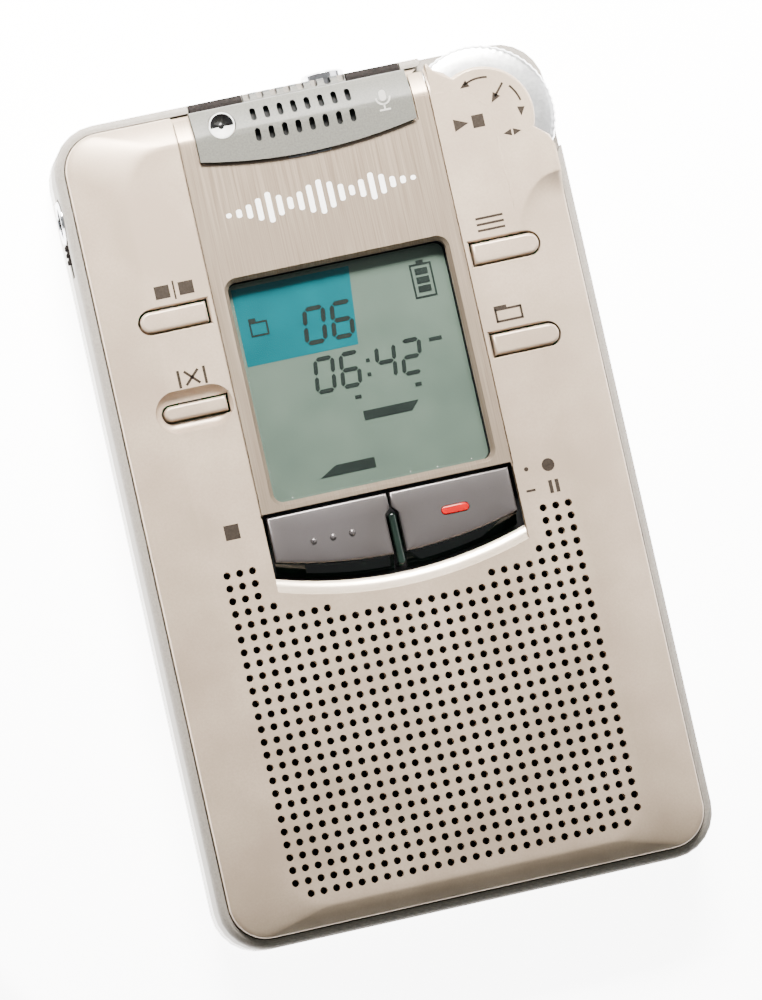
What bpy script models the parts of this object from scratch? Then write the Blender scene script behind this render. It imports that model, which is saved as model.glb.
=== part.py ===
"""Handheld voice recorder lying on its back, with X across, Y towards the microphone end and Z out of the face.

Every object is one closed solid, one piece of the recorder.  Sizes are in metres, written as millimetres times MM.
"""

import math

import bmesh
import bpy
from mathutils import Matrix, Vector

MM = 0.001

# Body
BODY_WIDTH = 54.0 * MM
BODY_LENGTH = 89.4 * MM
FACE_HEIGHT = 13.5 * MM          # from the back to the flat of the face
BODY_CORNER = 5.0 * MM
BACK_ROUNDING = 1.6 * MM
PART_LINE = 5.6 * MM             # height of the joint between rear case and middle frame
CASE_WALL = 1.4 * MM
BACK_FLOOR = 2.0 * MM

# Rounded rim round the face
RIM_WIDTH = 1.1 * MM
RIM_TOP_DROP = 2.2 * MM          # rim's top below the flat of the face
RIM_ROUNDING = 1.0 * MM
LEDGE_DROP = 3.9 * MM            # ledge that the front case stands on

# Face
SLOPE_SIDE = 5.6 * MM
SLOPE_TOP = 3.0 * MM
SLOPE_BOTTOM = 2.1 * MM
SLOPE_FALL = 1.45 * MM
EDGE_ROUNDING = 0.4 * MM
FACE_CORNER = 4.0 * MM
PLATEAU_CORNER = 3.0 * MM
FACE_WALL = 1.3 * MM

# Gaps between pieces
SEAM = 0.15 * MM                 # visible joint between case pieces
SEAT_GAP = 0.3 * MM              # between a piece and the one that it rests on
BUTTON_GAP = 0.25 * MM

# Brushed centre panel
PANEL_WIDTH = 27.2 * MM
PANEL_THICK = 0.6 * MM
PANEL_GROOVE = 0.2 * MM
POCKET_DEPTH = 3.0 * MM          # reach of the pocket cutters below the flat, past the slopes

# Key row; its line is the lower edge of the panel
KEY_LINE_FROM_TOP = 44.6 * MM
KEY_RECESS_SIDE = 6.6 * MM       # depth of the recess at its sides
KEY_RECESS_BOW = 2.1 * MM        # how much deeper its bowed edge is in the middle
KEY_LIP = 1.7 * MM
KEY_TOP_DROP = 0.2 * MM
KEY_TOP_SIDE = 4.7 * MM
KEY_TOP_BOW = 1.8 * MM
KEY_CAP_THICK = 1.3 * MM
KEY_TRAVEL = 0.5 * MM
KEY_GAP = 0.4 * MM               # black line between the keys and their recess
KEY_MARK_DROP = 3.7 * MM         # lens and raised dots below the key line
DOT_PITCH = 2.1 * MM
DOT_RADIUS = 0.4 * MM
RIB_WIDTH = 0.8 * MM
RIB_GAP = 0.3 * MM
RIB_DROP = 0.6 * MM
LENS_LENGTH = 3.0 * MM
LENS_WIDTH = 0.9 * MM

# Display
WINDOW_WIDTH = 23.8 * MM
WINDOW_LENGTH = 23.9 * MM
WINDOW_ABOVE_KEYS = 0.9 * MM
WINDOW_DROP = 1.0 * MM
WINDOW_THICK = 0.9 * MM
DISPLAY_THICK = 1.1 * MM
LIGHT_GUIDE_THICK = 0.5 * MM
HOLDER_RIM = 2.1 * MM

# Four small buttons beside the panel
SIDE_BUTTON_GAP = 0.7 * MM       # from the panel's edge to the hole
SIDE_BUTTON_LENGTH = 7.7 * MM
SIDE_BUTTON_WIDTH = 2.7 * MM
ERASE_LENGTH = 7.3 * MM
ERASE_WIDTH = 2.1 * MM
UPPER_BUTTON_ABOVE_KEYS = 22.4 * MM
LOWER_BUTTON_ABOVE_KEYS = 12.5 * MM
DISH_LENGTH = 9.0 * MM
DISH_WIDTH = 4.8 * MM
DISH_DEPTH = 0.6 * MM
DISH_SHIFT = 0.8 * MM            # dish's middle past the button's
BUTTON_TRAVEL = 0.4 * MM
BUTTON_FLANGE = 0.5 * MM

# Microphone cover
COVER_WIDTH = 23.6 * MM
COVER_LENGTH = 6.8 * MM          # from its bowed edge's middle to the panel's top edge
COVER_BOW = 1.2 * MM
COVER_PROUD = 0.5 * MM
COVER_THICK = 0.9 * MM
COVER_GAP = 0.25 * MM
COVER_POCKET = 0.7 * MM
SLOT_PITCH = 1.478 * MM
SLOT_WIDTH = 0.6 * MM
SLOT_LENGTH = 1.5 * MM
SLOT_COUNT = 8
SLOT_ROWS_FROM_TOP = (2.7 * MM, 5.0 * MM)
INDICATOR_X = -8.7 * MM
INDICATOR_FROM_TOP = 3.2 * MM
INDICATOR_RADIUS = 1.4 * MM
CAPSULE_RADIUS = 2.9 * MM
CAPSULE_FROM_TOP = 6.2 * MM
TRIM_WIDTH = 23.0 * MM
TRIM_ABOVE_LEDGE = 0.65 * MM
TRIM_GRILLE_WIDTH = 11.2 * MM
TRIM_DEPTH = 1.1 * MM

# Jog dial in the corner
DIAL_FROM_SIDE = 8.0 * MM
DIAL_FROM_TOP = 8.0 * MM
DIAL_RADIUS = 8.1 * MM
DIAL_THICK = 2.6 * MM
DIAL_DROP = 1.6 * MM
LOBE_RADIUS = 5.5 * MM
DIAL_PRESS = 0.6 * MM
CORNER_CUT_LEFT = 5.2 * MM        # face and rim end this far to the left of the dial's axis
CORNER_CUT_LOW = 4.3 * MM         # and this far below it
DIAL_FLOOR_GAP = 0.6 * MM         # under the dial, down to the cut-away corner of the frame
AXLE_RADIUS = 1.5 * MM
CARRIER_RADIUS = 4.6 * MM
CARRIER_THICK = 0.5 * MM
ENCODER_WIDTH = 8.6 * MM
SHOULDER_LENGTH = 15.2 * MM      # raised shoulder of the face round the dial

# Jacks
JACK_RADIUS = 2.35 * MM
JACK_BORE = 1.8 * MM
JACK_DEPTH = 12.0 * MM
JACK_BLOCK_WIDTH = 6.0 * MM
JACK_BLOCK_HEIGHT = 4.8 * MM
JACK_AXIS_DROP = 5.7 * MM
JACK_NOTCH = 4.0 * MM             # how far the notch for a collar reaches in
SIDE_JACK_FROM_TOP = 9.3 * MM
SIDE_JACK_PROUD = 0.3 * MM
TOP_JACK_X = 3.7 * MM
TOP_JACK_PROUD = 0.8 * MM

# Hold switch
HOLD_FROM_TOP = 13.4 * MM        # middle of its slot
HOLD_KNOB_LENGTH = 2.0 * MM
HOLD_KNOB_HEIGHT = 1.6 * MM
HOLD_TRAVEL = 1.2 * MM
HOLD_PROUD = 0.3 * MM
HOLD_DEPTH = 2.4 * MM
HOLD_SWITCH_LENGTH = 4.0 * MM
HOLD_SWITCH_WIDTH = 2.9 * MM
HOLD_SWITCH_HEIGHT = 3.0 * MM
HOLD_RIDGE_PITCH = 0.7 * MM

# Board and what stands on it
BOARD_TOP_DROP = 4.4 * MM
BOARD_THICK = 0.8 * MM
BOARD_BELOW_KEYS = 10.3 * MM
BOARD_SEAT = 0.05 * MM           # under what is soldered to the board
DOME_RADIUS = 1.8 * MM
DOME_HEIGHT = 0.3 * MM
CHIP_THICK = 1.2 * MM

# Loudspeaker
SPEAKER_RADIUS = 14.0 * MM
SPEAKER_MARGIN = 2.1 * MM         # from the flat's lower edge to the speaker's rim
SPEAKER_HEIGHT = 3.7 * MM
SPEAKER_FLANGE = 1.4 * MM
MAGNET_RADIUS = 6.0 * MM
MAGNET_THICK = 2.0 * MM
CONE_BORE = 3.0 * MM
GRILLE_WIDTH = 38.4 * MM
GRILLE_FROM_BOTTOM = 4.2 * MM
GRILLE_SIDE_TOP = 5.0 * MM       # grille's shoulders below the key line
CLOTH_THICK = 0.2 * MM
CLOTH_MARGIN = 0.4 * MM

# Battery
BATTERY_WIDTH = 34.6 * MM
BATTERY_LENGTH = 50.0 * MM
BATTERY_THICK = 5.2 * MM
BATTERY_GAP = 0.4 * MM
BAY_WALL = 0.9 * MM
BAY_FROM_BOTTOM = 2.4 * MM
CONTACT_ROOM = 1.6 * MM
CONTACT_PITCH = 6.0 * MM
CONTACT_WIDTH = 1.6 * MM
DOOR_WIDTH = 37.6 * MM
DOOR_THICK = 1.2 * MM
DOOR_TONGUE = 1.2 * MM
DOOR_LAP = 1.6 * MM              # door's end past the bay
DOOR_GAP = 0.2 * MM
GRIP_COUNT = 4
GRIP_FROM_BOTTOM = 8.0 * MM
GRIP_PITCH = 1.6 * MM
GRIP_WIDTH = 14.0 * MM
GRIP_GROOVE = 0.7 * MM
GRIP_DEPTH = 0.35 * MM

# Case screws
SCREW_RADIUS = 0.7 * MM
SCREW_HEAD = 1.5 * MM
BOSS_RADIUS = 1.9 * MM
SCREW_FROM_SIDE = 4.6 * MM
LOWER_SCREW_FROM_BOTTOM = 4.8 * MM
UPPER_SCREW_ABOVE_KEYS = 17.5 * MM
BOSS_SKIN = 0.6 * MM             # left between a boss and the face's slope
BOSS_CAP = 1.2 * MM              # solid end of a boss past its bore
BOSS_LENGTH = 4.8 * MM
HEAD_SINK = 1.5 * MM
HEAD_LOW = 0.5 * MM
HEAD_THICK = 0.7 * MM
CROSS_ARM = 0.9 * MM
CROSS_WIDTH = 0.36 * MM
CROSS_DEPTH = 0.4 * MM

# Places worked out from the sizes above
RIGHT = BODY_WIDTH / 2
TOP = BODY_LENGTH / 2
FACE_RIGHT = RIGHT - RIM_WIDTH
FACE_TOP = TOP - RIM_WIDTH
KEY_LINE = TOP - KEY_LINE_FROM_TOP
PANEL_RIGHT = PANEL_WIDTH / 2
BOARD_TOP = FACE_HEIGHT - BOARD_TOP_DROP
BOARD_BOTTOM = BOARD_TOP - BOARD_THICK
ROOF = FACE_HEIGHT - FACE_WALL
DOME_TOP = BOARD_TOP + DOME_HEIGHT
DIAL_X = RIGHT - DIAL_FROM_SIDE
DIAL_Y = TOP - DIAL_FROM_TOP
DIAL_TOP = FACE_HEIGHT - DIAL_DROP
DIAL_BOTTOM = DIAL_TOP - DIAL_THICK
DIAL_WELL = DIAL_RADIUS + DIAL_PRESS + SEAT_GAP
JACK_Z = FACE_HEIGHT - JACK_AXIS_DROP
SIDE_JACK_Y = TOP - SIDE_JACK_FROM_TOP
HOLD_Y = TOP - HOLD_FROM_TOP
SPEAKER_Y = -FACE_TOP + SLOPE_BOTTOM + SPEAKER_MARGIN + SPEAKER_RADIUS
BAY_LOW = -TOP + BAY_FROM_BOTTOM
BAY_HIGH = BAY_LOW + 2 * BAY_WALL + 2 * BATTERY_GAP + BATTERY_LENGTH + CONTACT_ROOM
BAY_HALF = BATTERY_WIDTH / 2 + BATTERY_GAP
BATTERY_LOW = BAY_LOW + BAY_WALL + BATTERY_GAP
BATTERY_Z = DOOR_THICK + SEAT_GAP
BAY_ROOF = BATTERY_Z + BATTERY_THICK + SEAT_GAP
INDICATOR_Y = TOP - INDICATOR_FROM_TOP
BOSS_TOP = FACE_HEIGHT - SLOPE_FALL - BOSS_SKIN

CORNER_STEPS = 6
FAR = 20.0 * MM                  # how far a cutter reaches past what it cuts


def clear_scene():
    for item in list(bpy.data.objects):
        bpy.data.objects.remove(item, do_unlink=True)


def paint(piece, colour, roughness=0.5, metallic=0.0):
    material = bpy.data.materials.new(piece.name)
    material.use_nodes = True
    shader = material.node_tree.nodes["Principled BSDF"]
    shader.inputs["Base Color"].default_value = (*colour, 1.0)
    shader.inputs["Roughness"].default_value = roughness
    shader.inputs["Metallic"].default_value = metallic
    piece.data.materials.clear()
    piece.data.materials.append(material)


SILVER = (0.56, 0.58, 0.60)
LILAC = (0.60, 0.59, 0.66)
STEEL = (0.70, 0.71, 0.72)
CHARCOAL = (0.035, 0.037, 0.04)
BLACK = (0.012, 0.014, 0.014)
GREY = (0.36, 0.36, 0.36)
GOLD = (0.80, 0.58, 0.22)


def add_mesh(name, points, faces):
    mesh = bpy.data.meshes.new(name)
    mesh.from_pydata(points, [], faces)
    mesh.update()
    piece = bpy.data.objects.new(name, mesh)
    bpy.context.scene.collection.objects.link(piece)
    return piece


def loft(name, rings):
    """Closed solid through stacked rings with the same number of points, anticlockwise seen from the last one."""
    count = len(rings[0])
    points = [point for ring in rings for point in ring]
    faces = [tuple(reversed(range(count)))]
    for level in range(len(rings) - 1):
        low = level * count
        high = low + count
        for i in range(count):
            j = (i + 1) % count
            faces.append((low + i, low + j, high + j, high + i))
    faces.append(tuple(range(len(points) - count, len(points))))
    return add_mesh(name, points, faces)


def at_height(outline, height):
    return [(x, y, height) for x, y in outline]


def prism(name, outline, low, high):
    return loft(name, [at_height(outline, low), at_height(outline, high)])


def rounded(x_low, x_high, y_low, y_high, radius, steps=CORNER_STEPS):
    """Anticlockwise outline of a rectangle with round corners."""
    right, left = x_high - radius, x_low + radius
    upper, lower = y_high - radius, y_low + radius
    points = []
    for quarter, (x, y) in enumerate(((right, upper), (left, upper), (left, lower), (right, lower))):
        for step in range(steps + 1):
            angle = (quarter + step / steps) * math.pi / 2
            points.append((x + radius * math.cos(angle), y + radius * math.sin(angle)))
    return points


def block(name, x_low, x_high, y_low, y_high, low, high):
    outline = [(x_low, y_low), (x_high, y_low), (x_high, y_high), (x_low, y_high)]
    return prism(name, outline, low, high)


def circle(x, y, radius, sides):
    turns = [2 * math.pi * side / sides for side in range(sides)]
    return [(x + radius * math.cos(turn), y + radius * math.sin(turn)) for turn in turns]


def stack(name, x, y, profile, sides=24):
    """Turned solid without a bore: profile is (radius, height) from the bottom up."""
    return loft(name, [at_height(circle(x, y, radius, sides), height) for radius, height in profile])


def turned(name, profile, sides=24):
    """Turned solid round the Z axis from a closed profile of (radius, height) that runs down its outer side."""
    count = len(profile)
    points = []
    faces = []
    for side in range(sides):
        angle = 2 * math.pi * side / sides
        points += [(radius * math.cos(angle), radius * math.sin(angle), height) for radius, height in profile]
        following = (side + 1) % sides
        for i in range(count):
            j = (i + 1) % count
            faces.append((side * count + i, side * count + j, following * count + j, following * count + i))
    return add_mesh(name, points, faces)


def reshape(piece, matrix):
    piece.data.transform(matrix)
    return piece


def shift(piece, x, y, z):
    return reshape(piece, Matrix.Translation((x, y, z)))


def set_origin(piece, point):
    """Puts the object's origin on its joint's axis and leaves the solid where it is."""
    piece.data.transform(Matrix.Translation(-Vector(point)))
    piece.location = point


def tool(piece):
    piece.hide_render = True
    piece.display_type = "WIRE"
    return piece


def combine(piece, other, operation="DIFFERENCE"):
    modifier = piece.modifiers.new(other.name, "BOOLEAN")
    modifier.solver = "EXACT"
    modifier.operation = operation
    modifier.object = other
    tool(other)
    return piece


def smooth(piece, degrees=35):
    piece.data.shade_smooth()
    piece.data.set_sharp_from_angle(angle=math.radians(degrees))


def finish(piece, colour, roughness=0.5, metallic=0.0):
    smooth(piece)
    paint(piece, colour, roughness, metallic)
    return piece


# Shared forms


def body_form(name, top_profile):
    """Outer form of the whole body: rounded back edge, straight sides, then (inset, height) pairs on top."""
    rings = []
    for inset, height in [(BACK_ROUNDING, 0.0), (0.3 * BACK_ROUNDING, 0.3 * BACK_ROUNDING), (0.0, BACK_ROUNDING)]:
        rings.append(at_height(body_outline(inset), height))
    for inset, height in top_profile:
        rings.append(at_height(body_outline(inset), height))
    return loft(name, rings)


def body_outline(inset):
    return rounded(-RIGHT + inset, RIGHT - inset, -TOP + inset, TOP - inset, BODY_CORNER - inset)


def face_outline(inset):
    return rounded(-FACE_RIGHT + inset, FACE_RIGHT - inset, -FACE_TOP + inset, FACE_TOP - inset, FACE_CORNER - inset)


def plateau_outline(inset):
    return rounded(
        -FACE_RIGHT + SLOPE_SIDE + inset, FACE_RIGHT - SLOPE_SIDE - inset,
        -FACE_TOP + SLOPE_BOTTOM + inset, FACE_TOP - SLOPE_TOP - inset, PLATEAU_CORNER - inset)


def face_form(name, raise_by=0.0):
    """Outer form of the front case, moved up or down by raise_by."""
    top = FACE_HEIGHT + raise_by
    slope_foot = top - SLOPE_FALL
    rings = [
        at_height(face_outline(0.0), FACE_HEIGHT - LEDGE_DROP + SEAT_GAP + min(raise_by, 0.0)),
        at_height(face_outline(0.0), slope_foot - EDGE_ROUNDING),
        at_height(face_outline(0.3 * EDGE_ROUNDING), slope_foot - 0.3 * EDGE_ROUNDING),
        at_height(face_outline(EDGE_ROUNDING), slope_foot + 0.1 * EDGE_ROUNDING),
        at_height(plateau_outline(-EDGE_ROUNDING), top - 0.25 * EDGE_ROUNDING),
        at_height(plateau_outline(EDGE_ROUNDING), top),
    ]
    return loft(name, rings)


def bowed(x_low, x_high, y_high, side, bow, half_span, steps=12):
    """Outline with a flat upper edge and a lower edge on an arc that is side deep at half_span, bow deeper at x = 0."""
    points = [(x_high, y_high), (x_low, y_high)]
    for step in range(steps + 1):
        x = x_low + (x_high - x_low) * step / steps
        points.append((x, y_high - side - bow * (1 - (x / half_span) ** 2)))
    return points


def lobe_outline():
    """Region outside the lobe over the dial, cut from the face's corner."""
    radius = LOBE_RADIUS
    start, end = math.radians(118), math.radians(-22)
    points = [
        (DIAL_X - CORNER_CUT_LEFT, TOP + FAR),
        (DIAL_X - CORNER_CUT_LEFT + 0.3 * MM, FACE_TOP + SEAM),
        (DIAL_X - 3.2 * MM, DIAL_Y + radius),
    ]
    for step in range(13):
        angle = start + (end - start) * step / 12
        points.append((DIAL_X + radius * math.cos(angle), DIAL_Y + radius * math.sin(angle)))
    low = DIAL_Y - CORNER_CUT_LOW
    points += [(FACE_RIGHT - 0.1 * MM, low), (RIGHT + FAR, low), (RIGHT + FAR, TOP + FAR)]
    return points


def side_button_outline(side, above_keys, length, width, grow):
    """D-shaped outline beside the panel: square towards the panel, round outwards; side is -1 or 1."""
    inner = PANEL_RIGHT + SIDE_BUTTON_GAP
    y = KEY_LINE + above_keys
    x_low, x_high = inner - grow, inner + length + grow
    radius = width / 2 + grow
    points = [(x_low, y - radius)]
    for step in range(9):
        angle = -math.pi / 2 + math.pi * step / 8
        points.append((x_high - radius + radius * math.cos(angle), y + radius * math.sin(angle)))
    points.append((x_low, y + radius))
    if side < 0:
        points = [(-x, y) for x, y in reversed(points)]
    return points


SIDE_BUTTONS = {
    "divide": (-1, UPPER_BUTTON_ABOVE_KEYS, SIDE_BUTTON_LENGTH, SIDE_BUTTON_WIDTH),
    "mode": (1, UPPER_BUTTON_ABOVE_KEYS, SIDE_BUTTON_LENGTH, SIDE_BUTTON_WIDTH),
    "folder": (1, LOWER_BUTTON_ABOVE_KEYS, SIDE_BUTTON_LENGTH, SIDE_BUTTON_WIDTH),
    "erase": (-1, LOWER_BUTTON_ABOVE_KEYS, ERASE_LENGTH, ERASE_WIDTH),
}
SCREWS = [
    (-RIGHT + SCREW_FROM_SIDE, -TOP + LOWER_SCREW_FROM_BOTTOM),
    (RIGHT - SCREW_FROM_SIDE, -TOP + LOWER_SCREW_FROM_BOTTOM),
    (-RIGHT + SCREW_FROM_SIDE, KEY_LINE + UPPER_SCREW_ABOVE_KEYS),
    (RIGHT - SCREW_FROM_SIDE, KEY_LINE + UPPER_SCREW_ABOVE_KEYS),
]


def cover_outline(grow):
    half = COVER_WIDTH / 2 + grow
    depth = COVER_LENGTH - COVER_BOW + RIM_WIDTH + grow
    return bowed(-half, half, TOP, depth, COVER_BOW, half)


def window_outline(grow):
    low = KEY_LINE + WINDOW_ABOVE_KEYS
    half = WINDOW_WIDTH / 2
    return rounded(-half - grow, half + grow, low - grow, low + WINDOW_LENGTH + grow, 1.0 * MM + grow, 4)


def side_jack_tool(name, radius):
    piece = stack(name, 0, 0, [(radius, 0), (radius, FAR)], 20)
    reshape(piece, Matrix.Rotation(-math.pi / 2, 4, "Y"))
    return shift(piece, -RIGHT + JACK_NOTCH, SIDE_JACK_Y, JACK_Z)


def top_jack_tool(name, radius):
    piece = stack(name, 0, 0, [(radius, 0), (radius, FAR)], 20)
    reshape(piece, Matrix.Rotation(-math.pi / 2, 4, "X"))
    return shift(piece, TOP_JACK_X, TOP - JACK_NOTCH, JACK_Z)


# Case


def make_front_case():
    case = face_form("front_case")
    low = FACE_HEIGHT - LEDGE_DROP - FAR
    inner_foot = FACE_HEIGHT - SLOPE_FALL - FACE_WALL
    hollow = loft("tool_front_hollow", [
        at_height(face_outline(CASE_WALL), low),
        at_height(face_outline(CASE_WALL), inner_foot),
        at_height(plateau_outline(0.7 * MM), ROOF),
    ])
    combine(case, make_shoulder(), "UNION")
    combine(case, hollow)
    combine(case, panel_pocket("tool_panel_pocket"))
    combine(case, cover_pocket("tool_cover_pocket_case"))
    combine(case, prism("tool_window_case", window_outline(0.0), low, FACE_HEIGHT + FAR))
    combine(case, key_recess())
    for label, (side, above, length, width) in SIDE_BUTTONS.items():
        hole = side_button_outline(side, above, length, width, 0.0)
        if label == "erase":
            combine(case, erase_dish())
        combine(case, prism("tool_" + label, hole, low, FACE_HEIGHT + FAR))
    combine(case, stack("tool_capsule", 0, TOP - CAPSULE_FROM_TOP, [
        (CAPSULE_RADIUS + SEAT_GAP, low), (CAPSULE_RADIUS + SEAT_GAP, FACE_HEIGHT + FAR)]))
    combine(case, stack("tool_led", INDICATOR_X, INDICATOR_Y, [(1.0 * MM, low), (1.0 * MM, FACE_HEIGHT + FAR)], 16))
    combine(case, dial_well("tool_dial_well_case"))
    combine(case, prism("tool_lobe", lobe_outline(), low, FACE_HEIGHT + FAR))
    combine(case, side_jack_tool("tool_side_jack_case", JACK_RADIUS + SEAT_GAP))
    combine(case, top_jack_tool("tool_top_jack_case", JACK_RADIUS + SEAT_GAP))
    for number, (x, y) in enumerate(SCREWS, 1):
        foot = BOSS_TOP - BOSS_LENGTH
        combine(case, stack(f"tool_boss_{number}", x, y, [(BOSS_RADIUS, foot), (BOSS_RADIUS, BOSS_TOP)], 16), "UNION")
        bore = SCREW_RADIUS + SEAT_GAP
        combine(case, stack(f"tool_bore_{number}", x, y, [(bore, foot - MM), (bore, BOSS_TOP - BOSS_CAP)], 12))
    finish(case, SILVER, 0.42, 0.25)


def make_shoulder():
    """Raised flat of the face round the dial, which ends in a scooped step for the thumb."""
    outline = [(FACE_RIGHT - SLOPE_SIDE - 2.0 * MM, FACE_TOP - SLOPE_TOP)]
    start = FACE_TOP - SHOULDER_LENGTH
    outline += [(FACE_RIGHT - SLOPE_SIDE - 2.0 * MM, start - 2.6 * MM)]
    outline += [(FACE_RIGHT - 4.6 * MM, start - 2.4 * MM), (FACE_RIGHT - 3.4 * MM, start - 0.9 * MM)]
    outline += [(FACE_RIGHT - 1.8 * MM, start - 0.15 * MM), (FACE_RIGHT - 0.02 * MM, start)]
    outline += [(FACE_RIGHT - 0.02 * MM, FACE_TOP - FACE_CORNER), (FACE_RIGHT - SLOPE_SIDE, FACE_TOP - SLOPE_TOP)]
    return prism("tool_shoulder", outline, ROOF - 1.1 * MM, FACE_HEIGHT - 0.15 * MM)


def panel_pocket(name):
    half = PANEL_RIGHT + PANEL_GROOVE
    pocket = block(name, -half, half, KEY_LINE - KEY_GAP, TOP + FAR, FACE_HEIGHT - POCKET_DEPTH, FACE_HEIGHT + FAR)
    return combine(pocket, face_form(name + "_floor", -PANEL_THICK - SEAT_GAP))


def cover_pocket(name):
    pocket = prism(name, cover_outline(COVER_GAP), FACE_HEIGHT - POCKET_DEPTH, FACE_HEIGHT + FAR)
    return combine(pocket, face_form(name + "_floor", -COVER_POCKET))


def key_recess():
    half = PANEL_RIGHT + 0.1 * MM
    hole = bowed(-half, half, KEY_LINE, KEY_RECESS_SIDE, KEY_RECESS_BOW, half)
    lip = bowed(-half, half, KEY_LINE, KEY_RECESS_SIDE + KEY_LIP, KEY_RECESS_BOW, half)
    past = bowed(-half, half, KEY_LINE, KEY_RECESS_SIDE + KEY_LIP + 0.4 * MM, KEY_RECESS_BOW, half)
    return loft("tool_key_recess", [
        at_height(hole, FACE_HEIGHT - FAR),
        at_height(hole, FACE_HEIGHT - 1.1 * MM),
        at_height(lip, FACE_HEIGHT),
        at_height(past, FACE_HEIGHT + MM),
    ])


def erase_dish():
    """Shallow oval dish: the bottom of a flattened ball."""
    x = -(PANEL_RIGHT + SIDE_BUTTON_GAP) - ERASE_LENGTH / 2 - DISH_SHIFT
    sheet = FACE_HEIGHT - 0.25 * MM
    rings = []
    for share in (0.25, 0.55, 0.8, 1.0):
        rings.append((share, sheet - DISH_DEPTH * math.sqrt(1 - share ** 2) - 0.1 * MM))
    rings.append((1.0, FACE_HEIGHT + MM))
    outline = circle(0, 0, 1.0, 24)
    y = KEY_LINE + LOWER_BUTTON_ABOVE_KEYS
    return loft("tool_dish", [
        [(x + px * share * DISH_LENGTH / 2, y + py * share * DISH_WIDTH / 2, height) for px, py in outline]
        for share, height in rings])


def dial_well(name):
    centre = DIAL_PRESS / 2
    profile = [(DIAL_WELL, DIAL_BOTTOM - DIAL_FLOOR_GAP + 0.05 * MM), (DIAL_WELL, ROOF - 0.05 * MM)]
    return stack(name, DIAL_X - centre, DIAL_Y - centre, profile, 40)


def make_centre_panel():
    panel = block("centre_panel", -PANEL_RIGHT, PANEL_RIGHT, KEY_LINE, FACE_TOP - EDGE_ROUNDING - SEAM,
                  FACE_HEIGHT - 4.0 * MM, FACE_HEIGHT + MM)
    combine(panel, face_form("tool_panel_skin"), "INTERSECT")
    combine(panel, face_form("tool_panel_back", -PANEL_THICK))
    combine(panel, prism("tool_window_panel", window_outline(0.0), 0, FACE_HEIGHT + FAR))
    combine(panel, prism("tool_cover_panel", cover_outline(COVER_GAP), 0, FACE_HEIGHT + FAR))
    finish(panel, STEEL, 0.32, 0.9)


def make_mic_cover():
    cover = prism("mic_cover", cover_outline(0.0), FACE_HEIGHT - 4.0 * MM, FACE_HEIGHT + MM)
    combine(cover, face_form("tool_cover_skin", COVER_PROUD), "INTERSECT")
    combine(cover, face_form("tool_cover_back", COVER_PROUD - COVER_THICK))
    for row, from_top in enumerate(SLOT_ROWS_FROM_TOP):
        for column in range(SLOT_COUNT):
            x = (column - (SLOT_COUNT - 1) / 2) * SLOT_PITCH
            y = TOP - from_top
            slot = rounded(x - SLOT_WIDTH / 2, x + SLOT_WIDTH / 2, y - SLOT_LENGTH / 2, y + SLOT_LENGTH / 2,
                           0.29 * MM, 1)
            combine(cover, prism(f"tool_slot_{row}_{column}", slot, 0, FACE_HEIGHT + FAR))
    hole = INDICATOR_RADIUS + 0.1 * MM
    combine(cover, stack("tool_indicator", INDICATOR_X, INDICATOR_Y, [(hole, 0), (hole, FACE_HEIGHT + FAR)], 20))
    finish(cover, GREY, 0.45)


def make_indicator():
    """Clear lens with a conical hollow, level with the cover, and its light on the board."""
    top = FACE_HEIGHT + COVER_PROUD - 0.55 * MM
    lens = stack("indicator_lens", INDICATOR_X, INDICATOR_Y,
                 [(0.7 * MM, top - 2.0 * MM), (0.7 * MM, top - 1.1 * MM), (INDICATOR_RADIUS, top - 0.45 * MM),
                  (INDICATOR_RADIUS, top)], 20)
    finish(lens, (0.75, 0.78, 0.80), 0.15)
    led = block("indicator_led", INDICATOR_X - 0.8 * MM, INDICATOR_X + 0.8 * MM, INDICATOR_Y - 0.5 * MM,
                INDICATOR_Y + 0.5 * MM, BOARD_TOP + BOARD_SEAT, BOARD_TOP + 0.65 * MM)
    finish(led, (0.8, 0.1, 0.05), 0.3)


def rim_form(name, low):
    """Band of the middle frame with its rounded top edge."""
    top = FACE_HEIGHT - RIM_TOP_DROP
    radius = RIM_ROUNDING
    rings = [at_height(body_outline(0.0), low)]
    for step in range(5):
        angle = math.pi / 2 * step / 4
        inset = radius * (1 - math.cos(angle))
        rings.append(at_height(body_outline(inset), top - radius * (1 - math.sin(angle))))
    return loft(name, rings)


def rim_cut(name, low):
    """The space inside the rim: wide above the ledge, narrower under it."""
    ledge = FACE_HEIGHT - LEDGE_DROP
    upper = face_outline(-SEAM)
    lower = face_outline(RIM_WIDTH)
    return loft(name, [at_height(lower, low), at_height(lower, ledge), at_height(upper, ledge + 0.01 * MM),
                       at_height(upper, FACE_HEIGHT + FAR)])


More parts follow.
